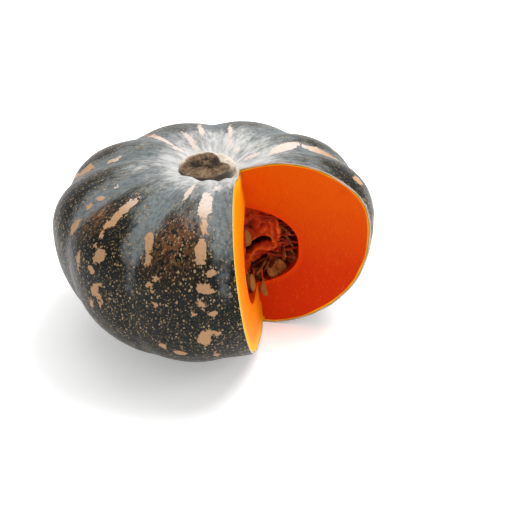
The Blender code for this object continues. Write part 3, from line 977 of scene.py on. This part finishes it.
# Roughness of the stem: size and depth of its lumps
STEM_LUMPS = ((5 * MM, 0.5 * MM), (1.6 * MM, 0.25 * MM))
# Notches round the stem's rim: how many go round and how deep they are
STEM_NOTCHES = 8
STEM_NOTCH_DEPTH = 0.4 * MM
# How far the pits' edges stray, and the size of their strays
PIT_STRAY = 0.35
PIT_STRAY_SIZE = 1.8 * MM
# Where the cut face is, by how much it takes the slant
FACE_SLANT_SHARE = 0.96


def stem_values(turn):
    """Radius share, height, slant share and shift share at a place on the stem."""
    station = turn / math.pi * (len(STEM_PROFILE) - 1)
    index = min(int(station), len(STEM_PROFILE) - 2)
    before, after = STEM_PROFILE[index], STEM_PROFILE[index + 1]
    share = station - index
    return [a + (b - a) * share for a, b in zip(before, after)]


def on_stem_face(share, slant_share):
    return slant_share > FACE_SLANT_SHARE and share < STEM_FACE_SHARE


def shoulder_share(azimuth, share):
    """1 on the pale shoulder at the back right of the cut face, which slopes down to the flank."""
    towards = max(math.cos(azimuth - STEM_SHOULDER_AZIMUTH), 0) ** 3
    inner = 1 - (1 - STEM_SHOULDER_SHARE) * towards
    return min(max((share / STEM_FACE_SHARE - inner) / 0.12, 0), 1) * min(towards * 4, 1)


def pit_share(x, y, pit):
    """1 in the middle of a pit, 0 away from it."""
    pit_x, pit_y, wide, deep_way, _ = pit
    away = math.hypot((x / MM - pit_x) / wide, (y / MM - pit_y) / deep_way)
    ragged = noise.noise(Vector((x, y, 0)) / PIT_STRAY_SIZE) * PIT_STRAY
    return math.exp(-((away + ragged) ** 4)) if away + ragged > 0 else 1


def stem_place(azimuth, turn):
    share, height, slant_share, shift_share = stem_values(turn)
    share_here = share * (1 + sum(d * math.cos(n * azimuth + phase) for n, phase, d in STEM_WAVES))
    x = STEM_HALF_WIDTH * share_here * math.cos(azimuth) + STEM_FACE_SHIFT * shift_share
    y = STEM_HALF_DEPTH * share_here * math.sin(azimuth)
    rise = height * MM + slant_share * (STEM_SLANT_X * x + STEM_SLANT_Y * y)
    rise -= STEM_SHOULDER_DROP * shoulder_share(azimuth, share) * slant_share
    if on_stem_face(share, slant_share):
        for pit in STEM_PITS:
            rise -= pit[-1] * MM * pit_share(x, y, pit)
    rough = sum(noise.noise(Vector((x, y, rise)) / size) * depth for size, depth in STEM_LUMPS)
    rough += noise.noise(polar(azimuth, STEM_NOTCHES, 3)) * STEM_NOTCH_DEPTH
    return Vector((x, y, rise + rough)) + STEM_CENTRE + AXIS_PLACE


class PUMPKIN_OT_stem(bpy.types.Operator):
    """Makes the cut stub of the woody stem"""

    bl_idname = "pumpkin.stem"
    bl_label = "Stem"

    def execute(self, context):
        stem, azimuths, turns = shaped_sphere("woody_stem", STEM_SEGMENTS, STEM_RINGS, stem_place)
        tops, rims, pits, spokes, rim_shades = [], [], [], [], []
        for azimuth, turn, place in zip(azimuths, turns, points_of(stem.data)):
            share, height, slant_share, _ = stem_values(turn)
            x = place[0] - STEM_CENTRE.x - AXIS_PLACE.x
            y = place[1] - STEM_CENTRE.y - AXIS_PLACE.y
            on_face = on_stem_face(share, slant_share)
            tops.append(1 - shoulder_share(azimuth, share) if on_face else 0)
            by_the_rim = math.exp(-(((share - STEM_FACE_SHARE) / STEM_RIM_WIDTH) ** 2))
            rims.append(by_the_rim if slant_share > FACE_SLANT_SHARE else 0)
            pits.append(max(pit_share(x, y, pit) for pit in STEM_PITS) if on_face else 0.0)
            spokes.append(noise.noise(polar(azimuth, STEM_SPOKES, share)))
            # The flank is pale at the back right, and dark with painted shadow under the rim at the
            # front left
            towards = math.cos(azimuth - STEM_SHADE_AZIMUTH)
            rim_shades.append(min(max(towards + STEM_SHADE_SPREAD, 0), 1))
        values = (tops, rims, pits, spokes, rim_shades)
        for name, numbers in zip(("top", "rim", "pit", "spoke", "rim_shade"), values):
            store(stem.data, name, numbers)
        cut_away(stem, new_wedge(0))
        finish_piece(stem, "stem", stem_material(context.scene.pumpkin_stem), "stem")
        return {"FINISHED"}


def tubes(name, paths, sides=1):
    """Strands through lists of (place, radius), as one mesh with closed ends."""
    curve = bpy.data.curves.new(name, "CURVE")
    curve.dimensions = "3D"
    curve.bevel_depth = 1
    curve.bevel_resolution = sides
    curve.use_fill_caps = True
    for path in paths:
        spline = curve.splines.new("POLY")
        spline.points.add(len(path) - 1)
        for point, (place, radius) in zip(spline.points, path):
            point.co = (*(place + AXIS_PLACE), 1)
            point.radius = radius
    obj = bpy.data.objects.new(name, curve)
    bpy.context.scene.collection.objects.link(obj)
    activate(obj)
    bpy.ops.object.convert(target="MESH")
    obj = bpy.context.object
    edit_all(
        obj,
        (bpy.ops.mesh.remove_doubles, {"threshold": 0.01 * MM}),
        (bpy.ops.mesh.normals_make_consistent, {"inside": False}),
    )
    return obj


def smooth_path(knots, steps, start_radius, end_radius, sway, draws):
    """A path through the knots, with a little sway, that goes from one radius to the other."""
    path = []
    count = (len(knots) - 1) * steps
    phase = Vector([draws.uniform(-50, 50) for _ in range(3)])
    for number in range(count + 1):
        station = number / steps
        index = min(int(station), len(knots) - 2)
        share = station - index
        before = knots[max(index - 1, 0)]
        first, second = knots[index], knots[index + 1]
        after = knots[min(index + 2, len(knots) - 1)]
        place = 0.5 * (
            2 * first
            + (second - before) * share
            + (2 * before - 5 * first + 4 * second - after) * share**2
            + (3 * first - before - 3 * second + after) * share**3
        )
        place += noise.noise_vector(place / (4 * MM) + phase) * sway
        whole = number / count
        path.append((place, start_radius + (end_radius - start_radius) * whole))
    return path


def core_place(azimuth, turn, grow):
    """A place on the pulp's core, moved out by grow, in the fruit's own frame."""
    direction = polar(azimuth, math.sin(turn), math.cos(turn))
    size = Vector((CORE_RADIUS, CORE_RADIUS, CORE_HALF_HEIGHT))
    return CORE_CENTRE + direction * size + direction * grow


def hollow_radius(height):
    share = min(abs(height - HOLLOW_LEVEL) / HOLLOW_HALF_HEIGHT, 1)
    return HOLLOW_RADIUS * (1 - share**HOLLOW_SQUARENESS) ** (1 / HOLLOW_SQUARENESS)


def row_azimuth(row):
    span = 2 * math.pi - (RIGHT_CUT - LEFT_CUT) - 2 * ROW_INSET
    return RIGHT_CUT + ROW_INSET + span * row / (SEED_ROWS - 1)


PULP_VOXEL = 0.75 * MM
PULP_SQUARENESS = 3
# The pulp's swirl on the right cut: its middle in the fruit's frame
SWIRL = Vector((31, 2, 62)) * MM
SWIRL_PITCH = 3.6 * MM
SWIRL_WARP = 6 * MM
SWIRL_WARP_SIZE = 13 * MM
SWIRL_FLATNESS = 0.85
# The swirl comes and goes in patches of this size
PATCH_SIZE = 8 * MM
PATCH_OFFSET = Vector((7, 3, 1))
# Lumps of the pulp: size and strength
PULP_LUMPS = ((10 * MM, 0.6), (4.5 * MM, 0.36), (2 * MM, 0.25))
# How far the relief stands out, and how far the surface is set back for it
RELIEF_HEIGHT = 1.3 * MM
RELIEF_SETBACK = 1.2 * MM
# A fold this high turns the pulp's colour from the painted shade of a gap to the brighter colour of
# a crest
FOLD_CREST = 6 * MM
PULP_SEGMENTS = 96
PULP_RINGS = 48
CORE_INSET = 1 * MM
CORE_ROOF_SHARE = 0.97
# Threads from the core to the wall: steps of azimuth and turn in degrees, radii, sway
THREADS_PER_BAY = 12
THREAD_SEED = 3
THREAD_FIRST_TURN = 40
THREAD_TURNS = 88
THREAD_RADII = (1.1, 1.9)
THREAD_TIP_RADIUS = 0.28 * MM
THREAD_SWAY = 0.6 * MM
THREAD_STEPS = 5

# Folds and gaps of the pulp on the right cut: points along the cut and up, half width and height,
# all in millimetres. A height below 0 is a gap.
FOLDS = (
    (((17, 60), (21, 66), (26, 72), (32, 76.5), (39, 78)), 1.7, -6.5),
    (((18, 54), (22, 62), (27, 67.5), (33, 70.5), (39, 70)), 2.4, 3.0),
    (((21, 50), (25, 56), (30, 60), (34, 59), (35, 55)), 1.5, 1.8),
    (((30.5, 53), (30.5, 46), (31, 38), (31, 28)), 2.3, -8.0),
    (((24, 52), (24.5, 44), (25, 36)), 1.6, -6.0),
    (((45, 97), (46.5, 86), (46, 74), (43.5, 62), (41, 52)), 2.6, 2.4),
    (((38, 97), (40.5, 86), (41, 78)), 1.6, 1.5),
    (((24, 98), (31, 93), (39, 93), (45, 89)), 1.6, 1.4),
    (((20, 88), (27, 84), (35, 83.5)), 1.2, -1.2),
    (((30, 84), (37, 83), (42, 78)), 1.6, 1.6),
    (((50, 96), (52.5, 84), (52, 72), (48.5, 60), (45, 50)), 2.6, -9.0),
)
FOLD_REACH = 11 * MM

# Teeth of pulp at the right, towards the wall: knots in millimetres in the fruit's frame, two radii
SHOWN_STRANDS = (
    (((46, 1, 90), (52, 1.5, 89.5), (57.5, 2, 90)), 1.8, 0.3),
    (((47, 1, 83.5), (52, 1, 82.5), (56, 2, 82)), 1.9, 0.3),
    (((46.5, 1, 78.5), (51, 1, 77.5), (55.5, 2, 77.5)), 1.6, 0.3),
    (((46, 1, 73), (51, 1, 72.5), (57, 2, 73), (62.5, 3, 74)), 1.8, 0.35),
    (((45, 1.5, 68), (50, 2, 67), (56, 3, 68.5), (62.5, 4, 69)), 1.4, 0.3),
    (((33.5, 1, 52), (34.5, 0.5, 44), (35, 0, 38)), 1.1, 0.6),
    (((27, 1, 52), (27.5, 0, 44), (27, -2, 37)), 1.3, 0.6),
)


def line_distance(across, up, points):
    """Distance of places on a plane from a line through points."""
    nearest = np.full(len(across), np.inf)
    for (x1, z1), (x2, z2) in zip(points, points[1:]):
        run, rise = x2 - x1, z2 - z1
        share = np.clip(((across - x1) * run + (up - z1) * rise) / (run**2 + rise**2), 0, 1)
        nearest = np.minimum(nearest, np.hypot(across - x1 - share * run, up - z1 - share * rise))
    return nearest


def fold_heights(places):
    """Height of the pulp's folds, in metres, at places in the fruit's own frame."""
    outward, normal = polar(RIGHT_CUT, 1, 0), cut_normal(RIGHT_CUT)
    across = (places @ np.array(outward)) / MM
    up = places[:, 2] / MM
    wander = np.array([noise.noise_vector(Vector(place) / (6 * MM)) for place in places]) * 1.3
    from_cut = np.abs((places - np.array(CUT_LINE_TOP)) @ np.array(normal))
    near = np.exp(-((from_cut / FOLD_REACH) ** 4))
    heights = np.zeros(len(places))
    for points, half_width, height in FOLDS:
        away = line_distance(across + wander[:, 0], up + wander[:, 2], points)
        heights += height * MM * np.exp(-((away / half_width) ** 2))
    return heights * near


def squared_core_place(azimuth, turn):
    """The core with its upper half squared out to the hollow's roof."""
    place = core_place(azimuth, turn, -CORE_INSET)
    if place.z > CORE_CENTRE.z:
        across = math.sin(turn) ** (2 / PULP_SQUARENESS)
        up = math.cos(turn) ** (2 / PULP_SQUARENESS) * CORE_ROOF_SHARE
        place = CORE_CENTRE + polar(azimuth, CORE_RADIUS * across, CORE_HALF_HEIGHT * up)
    return place + AXIS_PLACE


def pulp_relief(place):
    """Relief of the swirl and the lumps, about -1 to 1, at a place in the fruit's own frame."""
    warp = noise.noise_vector(place / SWIRL_WARP_SIZE) * SWIRL_WARP
    away = place + warp - SWIRL
    ring = math.hypot(away.x, away.z * SWIRL_FLATNESS)
    wave = 1 - abs(math.sin(ring / SWIRL_PITCH))
    patch = max(0.35 + 0.9 * noise.noise(place / PATCH_SIZE + PATCH_OFFSET), 0)
    lumps = sum(noise.noise(place / size) * strength for size, strength in PULP_LUMPS)
    return (0.6 - wave**2) * patch * 1.4 + lumps


def raise_relief(core):
    """Moves the core's surface by its folds and relief, and keeps how far each point stands out."""
    folds = fold_heights(points_of(core.data).astype(float) - np.array(AXIS_PLACE))
    crests, moved = [], []
    for vertex, fold in zip(core.data.vertices, folds):
        relief = pulp_relief(vertex.co - AXIS_PLACE)
        crests.append(min(max(0.4 + 0.5 * relief + fold / FOLD_CREST, 0), 1))
        outward = RELIEF_HEIGHT * relief + fold - RELIEF_SETBACK
        moved.append(vertex.co + vertex.normal * outward)
    for vertex, place in zip(core.data.vertices, moved):
        vertex.co = place
    store(core.data, "crest", crests)


def thread_paths(draws):
    """Threads from the core to the hollow's wall, thick at the core and thin at the wall."""
    paths = []
    bay = row_azimuth(1) - row_azimuth(0)
    for row in range(SEED_ROWS + 1):
        for number in range(THREADS_PER_BAY):
            azimuth = row_azimuth(row) - bay * draws.uniform(0.12, 0.88)
            if row == 0:
                azimuth = RIGHT_CUT + math.radians(draws.uniform(6, 14))
            if row == SEED_ROWS:
                azimuth = LEFT_CUT + 2 * math.pi - math.radians(draws.uniform(1.5, 5))
            share = (number + draws.uniform(0.1, 0.9)) / THREADS_PER_BAY
            turn = math.radians(THREAD_FIRST_TURN + THREAD_TURNS * share)
            start = core_place(azimuth, turn, -2 * MM)
            height = start.z + draws.uniform(-5, 3) * MM
            end_azimuth = azimuth + draws.uniform(-0.08, 0.08)
            end = polar(end_azimuth, hollow_radius(height) + 1 * MM, height)
            middle = start.lerp(end, 0.5) + Vector((0, 0, draws.uniform(-3, 1) * MM))
            radii = draws.uniform(*THREAD_RADII) * MM, THREAD_TIP_RADIUS
            paths.append(smooth_path([start, middle, end], THREAD_STEPS, *radii, THREAD_SWAY, draws))
    return paths


class PUMPKIN_OT_pulp(bpy.types.Operator):
    """Makes the stringy pulp: a folded core, the strands on its cut sides and threads to the wall"""

    bl_idname = "pumpkin.pulp"
    bl_label = "Pulp"

    def execute(self, context):
        # Without a seed of its own, noise_vector differs from run to run
        noise.seed_set(THREAD_SEED)
        draws = random.Random(THREAD_SEED)
        core, _, _ = shaped_sphere("stringy_pulp", PULP_SEGMENTS, PULP_RINGS, squared_core_place)
        cut_away(core, new_wedge(PULP_SETBACK))
        activate(core)
        core.data.remesh_voxel_size = PULP_VOXEL
        bpy.ops.object.voxel_remesh()
        edit_all(core, (bpy.ops.mesh.vertices_smooth, {"factor": 0.5, "repeat": 2}))
        raise_relief(core)
        settings = context.scene.pumpkin_hollow
        finish_piece(core, "pulp", pulp_material("Wet pulp", settings), "pulp")

        paths = []
        for knots, start, end in SHOWN_STRANDS:
            places = [Vector(knot) * MM for knot in knots]
            paths.append(smooth_path(places, 6, start * MM, end * MM, 1.0 * MM, draws))
        strands = tubes("pulp_strands", paths, 2)
        store(strands.data, "crest", np.full(len(strands.data.vertices), 0.6))
        finish_piece(strands, "pulp", pulp_material("Bright strands", settings))
        threads = tubes("pulp_threads", thread_paths(draws))
        # The threads sit low on the crest scale, so they take much of the painted gap shade
        store(threads.data, "crest", np.full(len(threads.data.vertices), 0.3))
        finish_piece(threads, "pulp", pulp_material("Wet threads", settings))
        return {"FINISHED"}


def seed_mesh(length, width):
    """One flat, pointed seed along +Z from its root at the origin, with a raised rim."""

    def place(azimuth, turn):
        along = (1 + math.cos(turn)) / 2
        body = math.sin(turn) ** 0.8
        taper = 0.5 + 0.5 * min(along / 0.45, 1) ** 0.8
        across = math.cos(azimuth)
        rim = 1 + 0.3 * math.exp(-(((abs(across) - 0.82) / 0.13) ** 2))
        half_thickness = 0.5 * 2.7 * MM * rim
        return Vector((
            across * body * taper * width / 2,
            math.sin(azimuth) * body * (0.6 + 0.4 * taper) * half_thickness,
            along * length,
        ))

    seed, _, _ = shaped_sphere("seed", 16, 12, place)
    rims = [min(abs(v.co.x) / (width / 2), 1) for v in seed.data.vertices]
    store(seed.data, "rim", rims)
    store(seed.data, "stain_and_shade", np.zeros(len(rims)))
    return seed


def placed_seed(pattern, root, direction, face, stain_and_shade):
    """A copy of the pattern that hangs from its root, with its flat side to face."""
    forward = direction.normalized()
    side = forward.cross(face).normalized()
    turn = Matrix((side, side.cross(forward) * -1, forward)).transposed().to_4x4()
    seed = bpy.data.objects.new("seed", pattern.data.copy())
    bpy.context.scene.collection.objects.link(seed)
    seed.data.transform(Matrix.Translation(root + AXIS_PLACE) @ turn)
    store(seed.data, "stain_and_shade", np.full(len(seed.data.vertices), stain_and_shade))
    return seed


def row_strand(azimuth, count):
    """The strand that a row of seeds hangs on, with room for three more."""
    turns = [math.radians(64 + 92 * number / (count + 2)) for number in range(count + 3)]
    return [(core_place(azimuth, turn, 2 * MM), STRAND_RADIUS) for turn in turns]


def row_seeds(azimuth, count, draws):
    """Root, direction, face and share of pulp stain and painted shade of each seed in a row, on
    either side of its strand.
    """
    tangent = Vector((-math.sin(azimuth), math.cos(azimuth), 0))
    seeds = []
    for number in range(count):
        turn = math.radians(66 + 82 * (number + draws.uniform(-0.2, 0.2)) / (count - 1))
        root = core_place(azimuth, turn, SEED_OUTSET)
        down = (core_place(azimuth, turn + 0.1, SEED_OUTSET) - root).normalized()
        away = down.cross(tangent)
        swing = tangent * draws.uniform(0.15, 0.75) * (1 if number % 2 else -1)
        direction = down * draws.uniform(0.7, 1) + swing + away * draws.uniform(0.15, 0.5)
        face = away + tangent * draws.uniform(-0.9, 0.9) + down * draws.uniform(-0.2, 0.2)
        seeds.append((root, direction, face, draws.uniform(0.1, 0.8)))
    return seeds


SEED_DRAWS = 11
SEED_OUTSET = 2.5 * MM
STRAND_RADIUS = 0.9 * MM
# How far the first row's seeds hang behind those that show on the right cut
FIRST_ROW_SETBACK = math.radians(5)
# Seeds that show on the right cut: root, way it points and way its flat side faces, in the fruit's
# frame and millimetres, and how much clinging pulp and painted shade darken it
SHOWN_SEEDS = (
    ((20, 3, 86), (0.2, 0, -1), (0.3, -1, 0.1), 0.4),
    ((56, 3.5, 68), (0.2, -0.05, -1), (-0.4, -1, 0.3), 1.0),
    ((46, 1.5, 60), (0.35, -0.05, -0.9), (-0.3, -1, 0.4), 0.8),
    ((40, 2, 57), (0.3, -0.1, -0.9), (0.2, -1, 0.3), 0.7),
    ((35.5, 0.2, 41.5), (0.2, -0.05, -1), (0.45, -1, 0.2), 0.55),
    ((25, -12, 54), (0.15, -0.1, -1), (1, -0.45, 0.1), 0.45),
    ((22.5, -3, 50), (0.1, -0.2, -1), (1, -0.5, 0.2), 0.5),
    ((30, 5, 50), (0.15, -0.05, -1), (-0.5, -1, 0.1), 0.9),
)


class PUMPKIN_OT_seeds(bpy.types.Operator):
    """Makes the rows of seeds that hang round the pulp"""

    bl_idname = "pumpkin.seeds"
    bl_label = "Seeds"

    def execute(self, context):
        settings = context.scene.pumpkin_hollow
        pattern = seed_mesh(settings.seed_length, settings.seed_width)
        material = seed_material(settings)
        draws = random.Random(SEED_DRAWS)
        for row in range(SEED_ROWS):
            azimuth = row_azimuth(row) + (FIRST_ROW_SETBACK if row == 0 else 0)
            # The first row's seeds take the full pulp stain and painted shade
            seeds = [
                placed_seed(pattern, *place, 1 if row == 0 else stain_and_shade)
                for *place, stain_and_shade in row_seeds(azimuth, settings.seeds_per_row, draws)
            ]
            if row == 0:
                for root, direction, face, stain_and_shade in SHOWN_SEEDS:
                    place = Vector(root) * MM, Vector(direction), Vector(face)
                    seeds.append(placed_seed(pattern, *place, stain_and_shade))
            strand = tubes("strand", [row_strand(azimuth, settings.seeds_per_row)])
            store(strand.data, "rim", np.zeros(len(strand.data.vertices)))
            store(strand.data, "stain_and_shade", np.ones(len(strand.data.vertices)))
            piece = join(f"seeds_{row + 1}", seeds + [strand])
            finish_piece(piece, "seed", material, f"seed_row_{row + 1}")
        remove(pattern)
        return {"FINISHED"}


FLOOR_SIZE = 12
# Soft lights: azimuth and height in degrees, size, and power as a share of the key light's
LIGHTS = (("key", 30, 64, 0.9, 1), ("side", -4, 24, 0.5, 0.22), ("top", 120, 72, 0.9, 0.3))
LIGHT_DISTANCE = 1.3
LIT_PLACE = Vector((0, 0, 0.06))
# The camera, and the way back from what it looks at
CAMERA_PLACE = Vector((0.0035, -0.955, 0.642))
CAMERA_BACK = Vector((-0.0253, -0.8535, 0.5205))
SENSOR_WIDTH = 36


class PUMPKIN_OT_stage(bpy.types.Operator):
    """Makes the floor, the soft light and the camera"""

    bl_idname = "pumpkin.stage"
    bl_label = "Stage"

    def execute(self, context):
        settings = context.scene.pumpkin_stage
        scene = context.scene
        deselect_all()
        bpy.ops.mesh.primitive_plane_add(size=FLOOR_SIZE, location=(0, 0, 0))
        floor = context.object
        floor.name = "floor"
        surface = Surface("Plain floor", 0.9, 0.1)
        surface.shader.inputs["Emission Color"].default_value = (1, 1, 1, 1)
        surface.shader.inputs["Emission Strength"].default_value = settings.glow
        floor.data.materials.append(surface.colour(settings.floor))

        world = scene.world or bpy.data.worlds.new("Studio")
        scene.world = world
        world.use_nodes = True
        background = world.node_tree.nodes["Background"]
        background.inputs["Color"].default_value = (1, 1, 1, 1)
        background.inputs["Strength"].default_value = settings.sky

        for name, azimuth, height, size, share in LIGHTS:
            bearing, rise = math.radians(azimuth), math.radians(height)
            away = polar(bearing, math.cos(rise), math.sin(rise)) * LIGHT_DISTANCE
            bpy.ops.object.light_add(type="AREA", location=LIT_PLACE + away)
            light = context.object
            light.name = name
            light.rotation_euler = away.to_track_quat("Z", "Y").to_euler()
            light.data.shape = "DISK"
            light.data.size = size
            light.data.energy = settings.key * share

        bpy.ops.object.camera_add(location=CAMERA_PLACE)
        camera = context.object
        camera.rotation_euler = CAMERA_BACK.to_track_quat("Z", "Y").to_euler()
        camera.data.sensor_width = SENSOR_WIDTH
        camera.data.lens = settings.lens
        scene.camera = camera
        scene.view_settings.view_transform = "Standard"
        return {"FINISHED"}


class PUMPKIN_PT_panel(bpy.types.Panel):
    """Lists the pieces of the pumpkin and their settings"""

    bl_idname = "PUMPKIN_PT_panel"
    bl_label = "Cut pumpkin"
    bl_space_type = "VIEW_3D"
    bl_region_type = "UI"
    bl_category = "Pumpkin"

    def draw(self, context):
        for settings_name, operators in PANEL_ROWS:
            box = self.layout.box()
            settings = getattr(context.scene, settings_name)
            for name in settings.__annotations__:
                box.prop(settings, name)
            for operator in operators:
                box.operator(operator)


SETTINGS = {
    "pumpkin_rind": PumpkinRindSettings,
    "pumpkin_flesh": PumpkinFleshSettings,
    "pumpkin_stem": PumpkinStemSettings,
    "pumpkin_hollow": PumpkinHollowSettings,
    "pumpkin_stage": PumpkinStageSettings,
}
OPERATORS = (
    PUMPKIN_OT_stage,
    PUMPKIN_OT_rind,
    PUMPKIN_OT_flesh,
    PUMPKIN_OT_stem,
    PUMPKIN_OT_pulp,
    PUMPKIN_OT_seeds,
)
PANEL_ROWS = (
    ("pumpkin_stage", ("pumpkin.stage",)),
    ("pumpkin_rind", ("pumpkin.rind",)),
    ("pumpkin_flesh", ("pumpkin.flesh",)),
    ("pumpkin_stem", ("pumpkin.stem",)),
    ("pumpkin_hollow", ("pumpkin.pulp", "pumpkin.seeds")),
)


def register():
    for name, settings in SETTINGS.items():
        bpy.utils.register_class(settings)
        setattr(bpy.types.Scene, name, PointerProperty(type=settings))
    for operator in OPERATORS:
        bpy.utils.register_class(operator)
    bpy.utils.register_class(PUMPKIN_PT_panel)


def unregister():
    bpy.utils.unregister_class(PUMPKIN_PT_panel)
    for operator in reversed(OPERATORS):
        bpy.utils.unregister_class(operator)
    for name, settings in reversed(SETTINGS.items()):
        delattr(bpy.types.Scene, name)
        bpy.utils.unregister_class(settings)


def main():
    register()
    bpy.ops.pumpkin.stage()
    bpy.ops.pumpkin.rind()
    bpy.ops.pumpkin.flesh()
    bpy.ops.pumpkin.stem()
    bpy.ops.pumpkin.pulp()
    bpy.ops.pumpkin.seeds()


if __name__ == "__main__":
    main()
